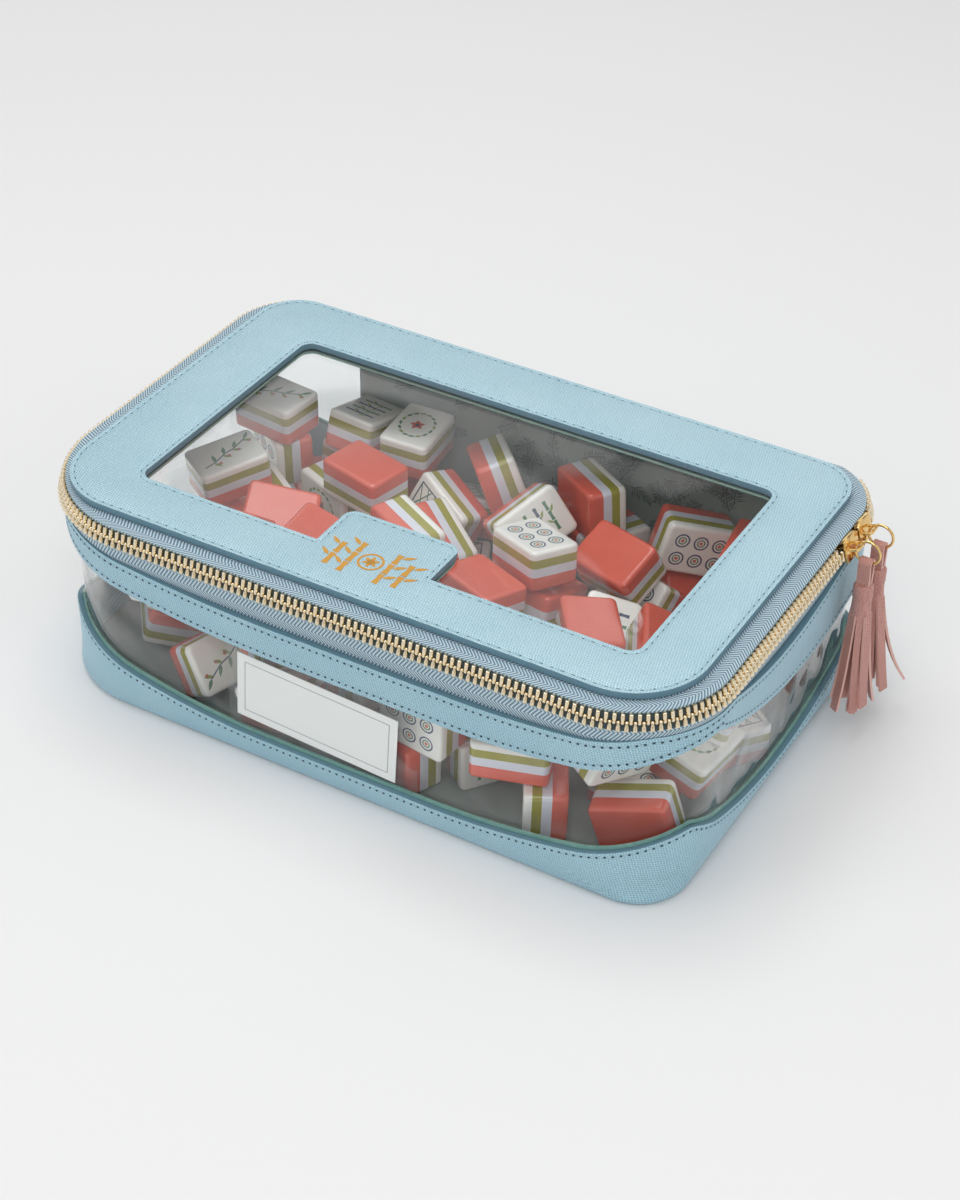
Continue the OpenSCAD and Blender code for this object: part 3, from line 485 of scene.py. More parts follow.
# the lid's sheet lies in long waves, the walls' in short ones; end-on the sheet is mint, and a fold glows green
vinyl = clearSheet("pressedClearVinyl", "#FDFEFE", 0.01, 12.0, 125)
vinylWall = clearSheet("softClearVinylWall", "#FDFEFE", 0.012, 4.0, 25)
vinylHem = fineSurface("foldedVinylHem", "#8FBBB1", "#6A978F", 3.0, 0.02, Roughness=0.2, Coat_Weight=0.3)
vinylEdge = fineSurface("cutVinylEdge", "#BFE0D4", "#9CC9BA", 3.0, 0.02, Roughness=0.25)
tape = wovenTape("wovenZipTape", "#D8E9F1", "#4B758B")
# the tape's cord, dark grey and far darker than its tape: painted shade in the gap behind the teeth
shadedTapeCord = fineSurface("shadedZipTapeCord", "#51636C", "#33434B", 0.5, 0.06, Roughness=0.9)  # fuzzy, in shade
# teeth are cast and worn bright, fittings polished like a mirror; stamped foil takes the leather's grain
zinc = fineSurface("champagnePlatedZinc", "#FBF0DA", "#DFCBA2", 0.5, 0.01, Metallic=1.0, Roughness=0.2)
gold = fineSurface("polishedGoldPlate", "#F6D698", "#E8BF78", 2.0, 0.004, Metallic=1.0, Roughness=0.13)
foil = fineSurface("hotStampedFoil", "#E8B25C", "#D39A46", 0.5, 0.02, Metallic=0.85, Roughness=0.34)
# rubbery lining sheet, half matt; its board, duller and tinted a little darker as painted shade among the
# tiles; flat white card with no gloss
lining = fineSurface("calenderedLining", "#9FAFA9", "#8A9B94", 0.6, 0.03, Roughness=0.6)
board = fineSurface("liningBoardPaintedShade", "#98A39F", "#87928E", 0.4, 0.02, Roughness=0.75)
paper = fineSurface("uncoatedWhiteCard", "#FDFDFC", "#F4F4F2", 0.3, 0.012, Roughness=0.8)
# twisted thread with a faint sheen, and the punched hole that it dives into, coloured dark as painted shade in
# the hole
thread = fineSurface("bondedPolyesterThread", "#B9D6E2", "#8FB4C4", 0.25, 0.05, Roughness=0.55)
shadedNeedleHole = fineSurface("shadedNeedleHole", "#35505E", "#243A46", 0.4, 0.01, Roughness=0.9)
# cast resin, tumbled until it shines, so each colour is deep and even
tumbled = {"grain": 6.0, "depth": 0.01, "Roughness": 0.2, "Coat_Weight": 0.4}
resinWhite = fineSurface("castResinIvory", "#FFFDF9", "#F8F5EE", **{**tumbled, "grain": 8.0, "Roughness": 0.16})
resinOlive = fineSurface("castResinOlive", "#ADA634", "#98922A", **tumbled)
resinLilac = fineSurface("castResinPaleLilac", "#EAEBF5", "#DCDEEA", **tumbled)
resinCoral = fineSurface("castResinCoral", "#EC6A54", "#DC5A45", **{**tumbled, "grain": 9.0, "Roughness": 0.18})
ink = printedInk()
print("materials ready")


# leather, vinyl, tape and fittings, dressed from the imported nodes
def cutEdges(centre, normal):
    return int(abs(normal.z) < 0.5)


def topEdge(centre, normal):
    return int(normal.z > 0.75 and centre.z > 10)


def bothEdges(centre, normal):
    return int(abs(normal.z) > 0.6)


def strapEdges(centre, normal):
    return int(abs(normal.x) > 0.9 and centre.z > 71)


# stores how far round the case and how far up and inwards a corner lies, in mm, for weave and grain
def markRun(mesh):
    line = filletLine(boxCorners(case), 0.8)
    first = max(range(len(line)), key=lambda k: line[k][1] - abs(line[k][0]) * 0.01)
    line = line[first:] + line[:first]
    places = np.array([p[:2] for p in line])
    gone = np.concatenate([[0], np.cumsum(np.linalg.norm(np.diff(places, axis=0), axis=1))])
    outward = np.array([p[2:] for p in line])
    runs = np.zeros((len(mesh.vertices), 3), np.float32)
    for k, vert in enumerate(mesh.vertices):
        here = np.array(vert.co) / mm
        near = int(np.argmin(((places - here[:2]) ** 2).sum(1)))
        normal = outward[near]
        step = here[:2] - places[near]
        runs[k] = (gone[near] + step @ np.array([-normal[1], normal[0]]), here[2] - step @ normal, 0)
    total = gone[-1] + np.linalg.norm(places[0] - places[-1])
    corners = []
    for face in mesh.polygons:
        values = runs[list(face.vertices)]
        if np.ptp(values[:, 0]) > total / 2:  # a face over the line's start
            values[:, 0] = np.where(values[:, 0] < total / 2, values[:, 0] + total, values[:, 0])
        corners.append(values)
    run = mesh.attributes.new("run", "FLOAT_VECTOR", "CORNER")
    run.data.foreach_set("vector", np.concatenate(corners).ravel())


quilt = ((1.2, 0), (0.5, -0.22), (0.5, 0.18), (1.8, 0.22))  # width and lift of each inset from the edge
sortWay = Vector((1, 1.3717, 2.7193))  # corners and faces are sorted along it, so that each run gives one order


def quilted(work):  # the seams round the lid's edges pull the leather down and leave the middle full
    top = [f for f in work.faces if f.normal.z > 0.999 and f.calc_center_median().z > (lid["top"] - 0.1) * mm]
    for width, lift in quilt:
        bmesh.ops.inset_region(work, faces=top, thickness=width * mm, depth=lift * mm, use_even_offset=True)
    work.verts.sort(key=lambda vert: vert.co.dot(sortWay))
    work.edges.sort(key=lambda edge: (edge.verts[0].co + edge.verts[1].co).dot(sortWay))
    work.faces.sort(key=lambda face: face.calc_center_median().dot(sortWay))


dressed("lid_frame", "leather", "lid", [leather, edgePaint], cutEdges, bevel=0.5, shape=quilted)
markRun(dressed("base_tray", "leather", "case", [leatherShadedSide, edgePaint], topEdge, bevel=0.35).data)
markRun(dressed("leather_band", "leather", "case", [leatherShadedSide, edgePaint], bothEdges, bevel=0.25).data)
markRun(dressed("back_panel", "leather", "case", [leatherShadedSide]).data)
markRun(dressed("hinge_flap", "leather", "lid", [leatherShadedSide]).data)
dressed("base_panel", "leather", "case", [leather], bevel=0.3)
dressed("base_board", "lining", "case", [board])
dressed("back_lining", "lining", "case", [lining])
dressed("lid_lining", "lining", "lid", [lining, vinylEdge], cutEdges)
dressed("clear_wall", "clear", "case", [vinylWall])
dressed("lid_window", "clear", "lid", [vinyl])
dressed("card_pocket", "clear", "case", [vinylWall])
dressed("wall_hem", "mint", "case", [vinylHem])
for side, body in (("lower", "case"), ("upper", "lid")):
    markRun(dressed(side + "_zip_tape", "tape", body, [tape]).data)
dressed("name_card", "card", "card", [paper])
dressed("zip_end_stops", "gold", "case", [gold], bevel=0.25)
for side in ("front", "rear"):
    dressed(side + "_slider", "gold", side + "_slider", [gold], bevel=0.14, angle=40)
    dressed(side + "_ring", "gold", side + "_ring", [gold])
    dressed(side + "_tassel_loop", "tassel", side + "_tassel", [leatherRose, rawEdge], strapEdges, bevel=0.18)
print("packed nodes dressed")

# zip teeth: cast combs that meet in the middle of the chain
zipChain = {"out": 0.2, "height": 84.9, "lean": 18, "pitch": 2.86, "endTurn": 54, "endGap": 0.1,
            "gapFrom": 39.07, "gapTo": 67.43, "gapRight": 100}
tooth = {"outline": ((-0.72, -3.3), (0.72, -3.3), (0.76, -2.2), (0.7, -1.15), (0.46, -0.7), (0.62, -0.1),
                     (0.6, 0.3), (0.34, 0.62), (-0.34, 0.62), (-0.6, 0.3), (-0.62, -0.1), (-0.46, -0.7),
                     (-0.7, -1.15), (-0.76, -2.2)),
         "depth": 1.7, "round": 0.32, "narrower": 0.42, "shorter": 0.22, "middle": -1.3}


def toothShape(name):
    points, n = [], len(tooth["outline"])
    deep, flat = tooth["depth"], tooth["depth"] - tooth["round"]
    for y, end in ((-deep, 1), (-flat, 0), (flat, 0), (deep, 1)):
        for x, z in tooth["outline"]:
            way = 1 if z > tooth["middle"] else -1
            points.append((x * (1 - tooth["narrower"] * end), y, z - tooth["shorter"] * end * way))
    faces = [tuple(range(n)), tuple(reversed(range(3 * n, 4 * n)))]
    faces += [(b, a, d, c) for base in (0, n, 2 * n) for a, b, c, d in hoop(base, n)]
    return meshPiece(name, points, faces)


def chainLine():  # from the back left corner along the front to the back right corner
    line = filletLine(boxCorners(case, -zipChain["out"]), 0.8)
    turned = 1 - sin(radians(zipChain["endTurn"]))
    limit = case["width"] / 2 - case["corners"][2] * turned - zipChain["endGap"]
    start = max(k for k in range(len(line)) if line[k][1] > limit)
    line = [p for p in line[start + 1:] + line[:start + 1] if p[1] <= limit]
    lean = radians(zipChain["lean"])
    return [((x, y, zipChain["height"]), (-nx * sin(lean), -ny * sin(lean), cos(lean)))
            for x, y, nx, ny in line]


def inGap(x, y):  # between the two sliders the upper row is left out
    return x > zipChain["gapRight"] and zipChain["gapFrom"] < y < zipChain["gapTo"]


def addTeeth():
    line, pitch = chainLine(), zipChain["pitch"]
    lower = walk(line, pitch, False, pitch)
    upper = [(place, along, -facing, 0) for place, along, facing, _ in walk(line, pitch, False, pitch * 1.5)
             if not inGap(place.x, place.y)]
    for name, spots, body in (("lower", lower, "case"), ("upper", upper, "lid")):
        piece = setOut(name + "TeethShown", spots, [toothShape("toothShape")], zinc, angle=50)
        finished(piece, body, "zip_gold", name + "_zip_teeth")
    print("teeth", len(lower), len(upper))


addTeeth()

# the cords along the tapes' edges that the teeth grip, which close the gap behind the chain; their dark grey
# colour is painted shade for that gap
cordSection = ((0.08, 0.15), (0.08, 0.8), (3.5, 0.95), (3.5, 0.1))  # away from the middle, and inwards


def addCords():
    lean = radians(zipChain["lean"])
    for name, way, body in (("lower", -1, "case"), ("upper", 1, "lid")):
        points, faces, joined = [], [], False
        for (x, y, z), facing in chainLine():
            if way == 1 and inGap(x, y):
                joined = False
                continue
            flat = Vector((facing[0], facing[1], 0)).normalized()
            inward = flat * cos(lean) - Vector((0, 0, sin(lean)))
            base = len(points)
            for reach, deep in cordSection:
                points.append(Vector((x, y, z)) + Vector(facing) * way * reach + inward * deep)
            if joined:
                faces += hoop(base - 4, 4)
            joined = True
        made = meshPiece(name + "TapeCord", points, faces, shadedTapeCord)
        smooth(made.data, 40)
        finished(made, body, "tape")


addCords()

# stitching: raised threads with a punched hole at each end, drawn as a dark disc of painted shade
stitch = {"lid": 4.2, "case": 3.0, "share": 0.72, "width": 0.72, "height": 0.3, "tilt": 0.05, "lidSunk": 0.17,
          "shape": ((-1, 0.35), (-0.55, 0.92), (0.55, 0.92), (1, 0.35)), "hole": (0.69, 0.46), "holeDepth": 0.1,
          "proud": 0.01, "lidIn": 1.75, "windowOut": 1.75, "bandIn": 2.3, "trayIn": 1.9, "backIn": 2.4,
          "backEnds": (26, 46)}


def threadShape(name, length):
    points = []
    for place, size in stitch["shape"]:
        for j in range(5):
            a = pi * j / 4
            points.append((place * length / 2, -cos(a) * stitch["width"] / 2 * size,
                           sin(a) * stitch["height"] * size))
    faces = [(k + j, k + 5 + j, k + 6 + j, k + 1 + j) for k in (0, 5, 10) for j in range(4)]
    faces += [(4, 3, 2, 1, 0), (15, 16, 17, 18, 19)]
    faces += [(k + 4, k + 9, k + 5, k) for k in (0, 5, 10)]
    return meshPiece(name, points, faces)


def holeShape(name):
    wide, tall = stitch["hole"]
    ring = [(wide * cos(j * pi / 4), tall * sin(j * pi / 4)) for j in range(8)]
    points = [(x, y, z) for z in (0.03, -stitch["holeDepth"]) for x, y in ring]
    faces = [tuple(range(8)), tuple(reversed(range(8, 16)))] + [(a, d, c, b) for a, b, c, d in hoop(0, 8)]
    return meshPiece(name, points, faces)


def onWall(name, lift, corners):
    return [((x, y, rimHeight(name, x, y) + lift), (nx, ny, 0)) for x, y, nx, ny in filletLine(corners)]


def windowCorners(grow):  # the window with the tab cut out of its front edge
    left, front, tabRight, tabBack = (window[key] - grow for key in ("left", "front", "tabRight", "tabBack"))
    right, back, tabLeft, corner = (window[key] + grow for key in ("right", "back", "tabLeft", "corner"))
    r = window["tabCorner"]
    return [(left, front, corner), (tabLeft, front, r), (tabLeft, tabBack, r), (tabRight, tabBack, r),
            (tabRight, front, r), (right, front, corner), (right, back, corner), (left, back, corner)]


def addStitches():
    top, out = lid["top"] - stitch["lidSunk"], stitch["proud"]
    edges = (boxCorners(lid, stitch["lidIn"]), windowCorners(stitch["windowOut"]))
    rows = {"lid": [([((x, y, top), (0, 0, 1)) for x, y, _, _ in filletLine(edge)], True) for edge in edges]}
    band = boxCorners(case, -case["bandProud"] - out)
    tray = boxCorners(case, case["trayIn"] - out)
    walls = (("bandTop", -stitch["bandIn"], band), ("bandFoot", stitch["bandIn"], band),
             ("tray", -stitch["trayIn"], tray))
    rows["case"] = [(onWall(*wall), True) for wall in walls]
    half = case["backHalf"] - stitch["backIn"]
    for x in (-half, half):
        rows["case"].append(([((x, case["back"] + out, z), (0, 1, 0)) for z in stitch["backEnds"]], False))
    for body, lines in rows.items():
        pitch = stitch[body]
        spots = [spot for line, closed in lines for spot in walk(line, pitch, closed)]
        holes = [(place + along * pitch / 2, along, facing, 0) for place, along, facing, _ in spots]
        shape = threadShape("threadShape", pitch * stitch["share"])
        finished(setOut(body + "Stitches", spots, [shape], thread, stitch["tilt"], 4), body, "leather")
        finished(setOut(body + "StitchHoles", holes, [holeShape("holeShape")], shadedNeedleHole), body, "leather")
        print("stitches", body, len(spots))


addStitches()

# tiles: each tile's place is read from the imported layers, and its layers get tumbled edges
tile = {"length": 30, "width": 22, "corner": 2.4, "cornerShare": 0.6, "print": 0.03, "seed": 11,
        "faceLayer": 3.3, "olive": 3.6, "lilac": 3.8, "back": 6.1,
        "rim": ((0, 1.925), (0, 1.425), (0.25, 0.63), (0.75, 0.15), (1.5, 0))}  # height and inset of its rings
tile["height"] = tile["faceLayer"] + tile["olive"] + tile["lilac"] + tile["back"]


def islands(node):  # middle, thin direction and long direction of each solid in a node
    work = bmesh.new()
    work.from_mesh(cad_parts[node].data)
    bmesh.ops.remove_doubles(work, verts=work.verts, dist=weld * mm)
    seen, found = set(), []
    for vert in work.verts:
        if vert in seen:
            continue
        stack, group = [vert], []
        seen.add(vert)
        while stack:
            here = stack.pop()
            group.append(here.co / mm)
            for edge in here.link_edges:
                other = edge.other_vert(here)
                if other not in seen:
                    seen.add(other)
                    stack.append(other)
        points = np.array([tuple(p) for p in group])
        middle = points.mean(0)
        _, axes = np.linalg.eigh(np.cov((points - middle).T))
        found.append((middle, axes[:, 0], axes[:, 2]))
    work.free()
    return found


def tileSpots():
    faces, backs = islands("tile_faces"), islands("tile_backs")
    between = tile["height"] - tile["faceLayer"] / 2 - tile["back"] / 2
    rng = random.Random(tile["seed"])
    spots = []
    for middle, thin, long in faces:
        expected = [(abs(np.linalg.norm(middle - b) - between) + np.linalg.norm(np.cross(middle - b, thin)), k)
                    for k, (b, _, _) in enumerate(backs)]
        back = backs[min(expected)[1]][0]
        facing = (middle - back) / np.linalg.norm(middle - back)
        centre = middle + facing * (tile["faceLayer"] / 2 - tile["height"] / 2)
        spots.append((Vector(centre), Vector(long if rng.random() < 0.5 else -long), Vector(facing), 0))
    return spots


def slabShape(name, low, high, roundLow, roundHigh):  # a layer, with rounded rims where asked
    rings = [(low + up, inset) for up, inset in tile["rim"]] if roundLow else [(low, 0)]
    rings += [(high - up, inset) for up, inset in reversed(tile["rim"])] if roundHigh else [(high, 0)]
    points, n = [], 20
    for z, inset in rings:
        x, y = tile["length"] / 2 - inset, tile["width"] / 2 - inset
        r = tile["corner"] - inset * tile["cornerShare"]
        points += [(sx * (x - r) + r * cos(a), sy * (y - r) + r * sin(a), z)
                   for sx, sy, start in ((1, 1, 0), (-1, 1, 90), (-1, -1, 180), (1, -1, 270))
                   for a in (radians(start + 22.5 * j) for j in range(5))]
    faces = [tuple(reversed(range(n))), tuple(range(len(points) - n, len(points)))]
    for base in range(0, len(points) - n, n):
        faces += hoop(base, n)
    return meshPiece(name, points, faces)


def addTiles():
    spots = tileSpots()
    layers = (("tile_faces", "faceLayer", resinWhite, "tile_white"),
              ("tile_green_layers", "olive", resinOlive, "tile_green"),
              ("tile_white_layers", "lilac", resinLilac, "tile_white"),
              ("tile_backs", "back", resinCoral, "tile_coral"))
    high = tile["height"] / 2
    for node, part, finish, slot in layers:
        low = high - tile[part]
        shape = slabShape(node + "Shape", low, high, part == "back", part == "faceLayer")
        finished(setOut(node + "Shown", spots, [shape], finish, angle=50), "case", slot, node)
        high = low
    print("tiles", len(spots))
    return spots


tiles = addTiles()

# printed and stamped designs: flat shapes of one colour each, in mm
inks = {"green": "#3F7F54", "navy": "#33476B", "coral": "#D9604C", "leaf": "#8FA33A", "grey": "#8D9298"}
leafOutline = ((0, 0), (0.3, -0.5), (0.62, -0.42), (1, 0), (0.62, 0.42), (0.3, 0.5))


class Drawing:
    def __init__(self, z=0.0):
        self.z, self.points, self.faces, self.colours = z, [], [], []

    def area(self, outline, colour):
        base = len(self.points)
        self.points += [(x, y, self.z) for x, y in outline]
        self.faces.append(tuple(range(base, len(self.points))))
        self.colours.append(colour)

    def leaf(self, x, y, angle, length, width, colour):
        c, s = cos(angle), sin(angle)
        self.area([(x + c * u * length - s * v * width, y + s * u * length + c * v * width)
                   for u, v in leafOutline], colour)

    def blossom(self, x, y, count, turn, length, width, colour):
        for k in range(count):
            self.leaf(x, y, tau * k / count + turn, length, width, colour)

    def cane(self, x, low, high, half, waist, colour):
        middle = (low + high) / 2
        self.area([(x - half, low), (x + half, low), (x + waist, middle), (x + half, high), (x - half, high),
                   (x - waist, middle)], colour)

    def strip(self, path, width, colour):
        for a, b in zip(path, path[1:]):
            way = Vector((b[0] - a[0], b[1] - a[1])).normalized()
            over, side = way * width * 0.3, Vector((-way.y, way.x)) * width / 2
            a, b = Vector(a) - over, Vector(b) + over
            self.area([a - side, b - side, b + side, a + side], colour)

    def ring(self, x, y, radius, width, colour, steps=14):
        spots = [(cos(tau * k / steps), sin(tau * k / steps)) for k in range(steps + 1)]
        inner = radius - width
        for (c, s), (d, t) in zip(spots, spots[1:]):
            self.area([(x + inner * c, y + inner * s), (x + radius * c, y + radius * s),
                       (x + radius * d, y + radius * t), (x + inner * d, y + inner * t)], colour)

    def piece(self, name, *materials):
        made = meshPiece(name, self.points, self.faces, *materials)
        shades = made.data.attributes.new("ink", "FLOAT_COLOR", "CORNER")
        shades.data.foreach_set("color", [c for face, shade in zip(self.faces, self.colours)
                                          for c in linear(inks[shade]) * len(face)])
        return made


def canes(d):  # upright canes with joints and leaves
    for k, x in enumerate((-7.5, -2.5, 2.5, 7.5)):
        for low in (-6.5, -1.9, 2.7):
            d.cane(x, low, low + 4.2, 0.8, 0.6, "green" if k % 2 else "navy")
        d.leaf(x + 0.7, 1.5, 0.9, 3.6, 1.1, "leaf")
        d.leaf(x - 0.7, -2.8, 2.3, 3.2, 1.0, "leaf")


def wreath(d):  # a ring of leaves round a blossom
    for k in range(16):
        a = k * pi / 8
        d.leaf(9.025 * cos(a), 7.6 * sin(a), a + 1.9, 3.2, 1.3, "green" if k % 3 else "leaf")
    d.blossom(0, 0, 5, 0.3, 3.4, 2.2, "coral")
    d.z += 0.005
    d.ring(0, 0, 1.0, 0.9, "navy", 10)


def coins(d):  # round coins in two rows
    for x in (-8, 0, 8):
        for y in (-4.2, 4.2):
            for radius, width, colour, steps in ((3.2, 0.7, "navy", 14), (1.8, 0.55, "green", 12),
                                                 (0.8, 0.75, "coral", 8)):
                d.ring(x, y, radius, width, colour, steps)


def branch(d):  # a bent branch with leaves and berries
    stem = [(-11, -5), (-6, -3.5), (-1, -0.5), (4, 1), (10, 4.5)]
    d.strip(stem, 0.6, "navy")
    for k, (x, y) in enumerate(stem[1:]):
        d.leaf(x, y, 1.5 - 0.2 * k, 5.2, 1.7, "green")
        d.leaf(x - 1, y - 0.5, -0.9 + 0.2 * k, 4.4, 1.5, "leaf")
        d.ring(x + 1.6, y - 1.8, 0.8, 0.75, "coral", 8)


def trellis(d):  # crossed lines in a frame
    for k in range(-2, 3):
        for way in (-3.2, 3.2):
            d.strip([(k * 4.4 + way, -6.4), (k * 4.4 - way, 6.4)], 0.55, "green")
    for y in (-7, 7):
        d.strip([(-12, y), (12, y)], 0.7, "navy")
    for x in (-12, 12):
        d.strip([(x, -7), (x, 7)], 0.7, "navy")


def addPrints():
    rng = random.Random(5)
    shapes = []
    for draw in (canes, wreath, coins, branch, trellis):
        d = Drawing(tile["height"] / 2 + tile["print"])
        draw(d)
        shapes.append(d.piece("design%d" % len(shapes)))
    spots = [(place, along, facing, rng.randrange(len(shapes))) for place, along, facing, _ in tiles]
    finished(setOut("tilePrints", spots, shapes, ink), "case", "tile_green")


addPrints()
print("tile prints set")

# pressed fern sprays in two greys over the back lining
fern = {"count": 70, "shapes": 3, "reach": (-86, 86), "face": 87.1, "heights": (28, 76), "leaves": 13,
        "pitch": 0.8, "longest": 5.2, "shorter": 0.27, "leafWidth": 0.36,
        "stem": [(0, 0), (3, 0.4), (7, 0.2), (11, -0.6)]}


def sprayShape(name, seed):
    d, rng = Drawing(), random.Random(seed)
    d.strip(fern["stem"], 0.5, "grey")
    for k in range(fern["leaves"]):
        length = (fern["longest"] - fern["shorter"] * k) * (0.85 + 0.3 * rng.random())
        for side in (-1, 1):
            turn = side * (0.85 + 0.3 * rng.random())
            d.leaf(1 + k * fern["pitch"], 0.2, turn, length, fern["leafWidth"], "grey")
    return d.piece(name)


def addSprays():
    rng = random.Random(21)
    pressed = fineSurface("pressedFernPrint", "#5D6A68", "#495654", 0.8, 0.02, Roughness=0.7)  # dark and flat
    spots = []
    for _ in range(fern["count"]):
        a = rng.uniform(0, tau)
        place = Vector((rng.uniform(*fern["reach"]), fern["face"], rng.uniform(*fern["heights"])))
        spots.append((place, Vector((cos(a), 0, sin(a))), Vector((0, -1, 0)), rng.randrange(fern["shapes"])))
    shapes = [sprayShape("spray%d" % k, k) for k in range(fern["shapes"])]
    finished(setOut("backSprays", spots, shapes, pressed), "case", "lining")


addSprays()
print("sprays set")

# a stamped spray of canes on the lid's tab, round a ringed blossom
badge = {"place": (2.0, -63.5, 92.44), "size": 1.4, "joint": 0.2, "half": 0.95, "waist": 0.65,
         "canes": ((-10.5, -6.5, 11, 2), (-5.5, -7.5, 14.5, 3), (5.5, -7.5, 14.5, 3), (10.5, -6.5, 11, 2))}


def addBadge():
    d = Drawing()
    for x, foot, tall, parts in badge["canes"]:
        way = 1 if x > 0 else -1
        for k in range(parts):
            low, high = foot + tall * k / parts + badge["joint"], foot + tall * (k + 1) / parts - badge["joint"]
            d.cane(x, low, high, badge["half"], badge["waist"], "leaf")
            d.leaf(x + way * 0.9, high - 1.4, pi / 2 - way * 0.95, 4.2, 1.25, "leaf")
    d.ring(0, 0.2, 3.7, 0.7, "leaf", 24)
    d.blossom(0, 0.2, 6, 0.5, 2.6, 1.2, "leaf")
    made = d.piece("foilBadge", foil)
    made.data.transform(Matrix.Translation(Vector(badge["place"]) * mm) @ Matrix.Scale(badge["size"], 4))
    finished(made, "lid", "gold")


addBadge()

# a thin frame ruled on the card
cardRule = {"length": 64, "height": 23.5, "width": 0.35, "place": (-7.6, -88.41, 32.7), "turn": 3.2}


def addCardRule():
    d, x, y = Drawing(), cardRule["length"] / 2, cardRule["height"] / 2
    d.strip([(-x, -y), (x, -y), (x, y), (-x, y), (-x, -y)], cardRule["width"], "grey")
    made = d.piece("cardRule", ink)
    turn = Matrix.Rotation(radians(cardRule["turn"]), 4, "Y") @ Matrix.Rotation(radians(90), 4, "X")
    made.data.transform(Matrix.Translation(Vector(cardRule["place"]) * mm) @ turn)
    finished(made, "card", "card")


addCardRule()
print("badge and card rule set")

# leather strip over the hinge
strap = {"half": 98.5, "inner": 88.84, "thick": 0.5, "low": 79.0, "high": 88.7, "steps": 24}


def addHingeStrap():
    n, tall = strap["steps"] + 1, strap["high"] - strap["low"]
    points, faces = [], []
    for x in (-strap["half"], strap["half"]):
        for y in (strap["inner"], strap["inner"] + strap["thick"]):
            points += [(x, y, strap["low"] + tall * k / strap["steps"]) for k in range(n)]
    a, b, c, d = (n * k for k in range(4))
    for k in range(n - 1):
        for p, q in ((a, c), (d, b), (b, a), (c, d)):
            faces.append((p + k, q + k, q + k + 1, p + k + 1))
    faces += [(a, b, d, c), (a + n - 1, c + n - 1, d + n - 1, b + n - 1)]
    made = meshPiece("hingeStrap", points, faces, leatherShadedSide)
    facedOutward(made.data)
    smooth(made.data, 50)
    markRun(made.data)
    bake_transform(made)


addHingeStrap()

# tassel skirts: a leather sleeve slit into strips of uneven width that fan out and curl
skirt = {"x": 152.38, "sleeve": ((65.3, 0), (61.0, 0.1), (58.0, 0.35), (57.0, 0.3)), "around": 32,
         "radius": 3.65, "thick": 0.95, "slit": 57.0, "overlap": 0.6, "tip": 12.5, "steps": 9,
         "widths": (4.5, 2.9, 3.9, 2.5, 4.3, 3.2, 3.4), "proud": 0.32,
         "inner": 7, "innerWidth": (2.4, 3.6), "innerRadius": 2.1, "innerShare": 0.6,
         "spread": (1.0, 3.0), "curl": (0.2, 1.8), "sway": (-2.0, 2.0), "fall": (0.93, 1.0),
         "away": 0.5, "awayWithin": 0.75, "awaySpread": 1.5}


def ribbon(points, faces, marks, path, side, width, thick):  # a strip along a path; marks the raw edges
    base = len(points)
    for k, place in enumerate(path):
        along = (path[min(k + 1, len(path) - 1)] - path[max(k - 1, 0)]).normalized()
        out = along.cross(side).normalized()
        for u, v in signs:
            points.append(place + side * u * width / 2 + out * v * thick / 2)
    for k in range(len(path) - 1):
        faces += hoop(base + 4 * k, 4)
        marks += (0, 1, 0, 1)
    last = base + 4 * (len(path) - 1)
    faces += [(base + 3, base + 2, base + 1, base), (last, last + 1, last + 2, last + 3)]
    marks += (1, 1)


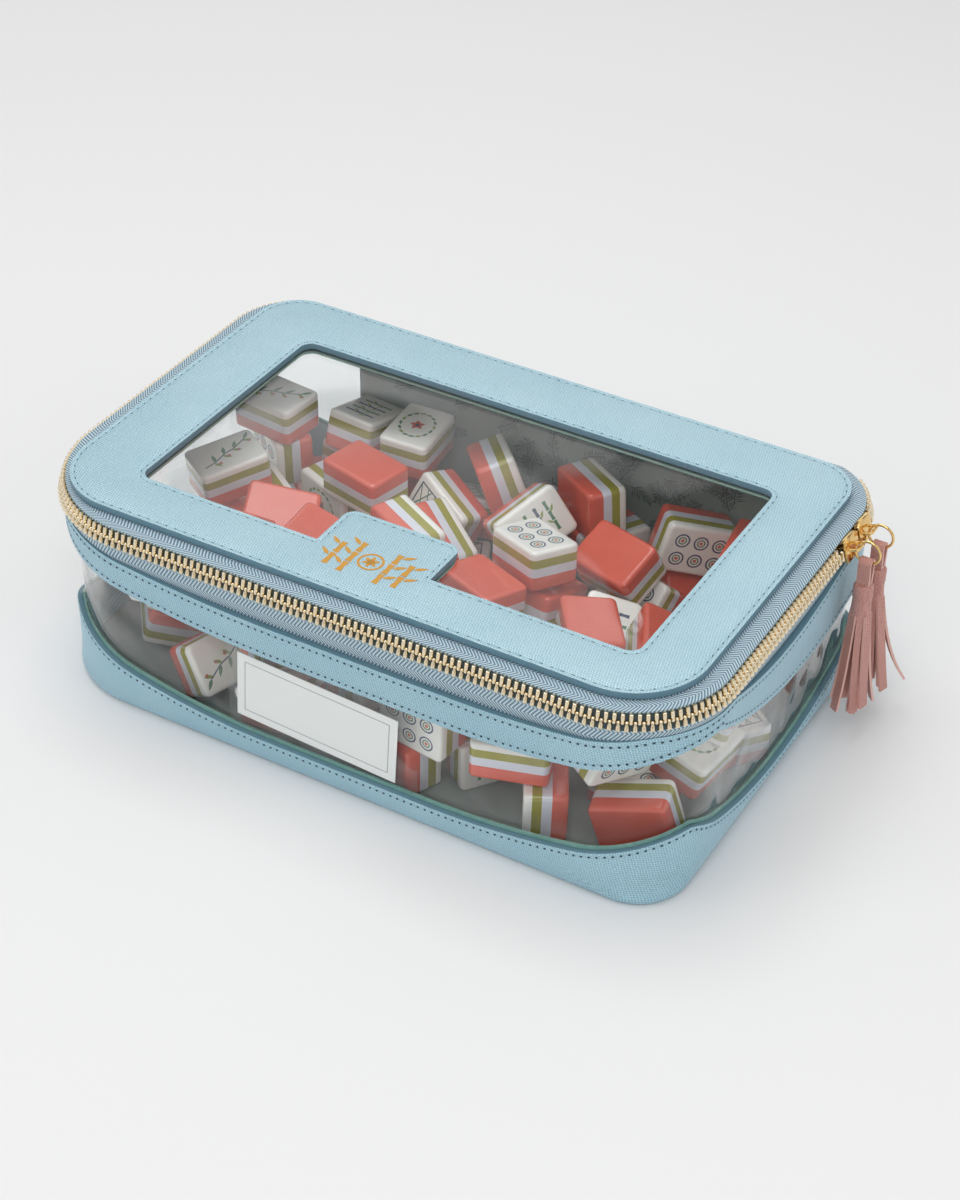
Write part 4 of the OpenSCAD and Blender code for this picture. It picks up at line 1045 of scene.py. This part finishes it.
def sleeve(points, faces, marks, y):
    n, count = skirt["around"], len(skirt["sleeve"])
    for inset in (0, skirt["thick"]):
        for z, flare in skirt["sleeve"]:
            r = skirt["radius"] + flare - inset
            turns = [tau * k / n for k in range(n)]
            points += [Vector((skirt["x"] + r * cos(a), y + r * sin(a), z)) for a in turns]
    inside, low, lowInside = count * n, (count - 1) * n, (2 * count - 1) * n
    for k in range(n):
        after = (k + 1) % n
        for ring in range(count - 1):
            for base, flip in ((ring * n, False), (ring * n + inside, True)):
                quad = (base + k, base + n + k, base + n + after, base + after)
                faces.append(quad[::-1] if flip else quad)
                marks.append(0)
        faces.append((low + k, lowInside + k, lowInside + after, low + after))
        faces.append((k, after, inside + after, inside + k))
        marks += (1, 1)


def addSkirt(name, y, lean, seed, stray):
    rng = random.Random(seed)
    points, faces, marks = [], [], []
    sleeve(points, faces, marks, y)
    a = rng.uniform(0, tau)
    outer = skirt["radius"] - skirt["thick"] / 2 + skirt["proud"]
    rows = []
    for width in skirt["widths"]:
        rows.append((a + width / 2 / outer, width, outer, 1))
        a += width / outer
    rows += [(None, rng.uniform(*skirt["innerWidth"]), skirt["innerRadius"], skirt["innerShare"])
             for _ in range(skirt["inner"])]
    for a, width, radius, share in rows:
        if a is None:
            a = rng.uniform(0, tau)
        spread, curl = rng.uniform(*skirt["spread"]) * share, rng.uniform(*skirt["curl"]) * share
        sway = rng.uniform(*skirt["sway"])
        if share == 1 and cos(a - skirt["away"]) > skirt["awayWithin"]:  # the outer side's strips stand off
            spread, curl = spread + skirt["awaySpread"], curl + stray
        fall = (skirt["slit"] - skirt["tip"]) * rng.uniform(*skirt["fall"])
        outward, side = Vector((cos(a), sin(a), 0)), Vector((-sin(a), cos(a), 0))
        path, top = [], skirt["slit"] + skirt["overlap"]
        for j in range(skirt["steps"] + 1):
            t = j / skirt["steps"]
            middle = Vector((skirt["x"] + lean[0] * t, y + lean[1] * t, top - fall * t))
            path.append(middle + outward * (radius + spread * t + curl * t ** 3) + side * sway * t ** 2)
        ribbon(points, faces, marks, path, side, width, skirt["thick"])
    made = meshPiece(name, points, faces, leatherRose, rawEdge)
    for face, mark in zip(made.data.polygons, marks):
        face.material_index = mark
    facedOutward(made.data)
    smooth(made.data, 40)
    return made


finished(addSkirt("frontSkirt", 46, (1.0, -2.0), 3, 1.0), "front_tassel", "tassel", "front_tassel_skirt")
finished(addSkirt("rearSkirt", 58.5, (3.5, 2.5), 8, 5.0), "rear_tassel", "tassel", "rear_tassel_skirt")
print("tassels dressed")
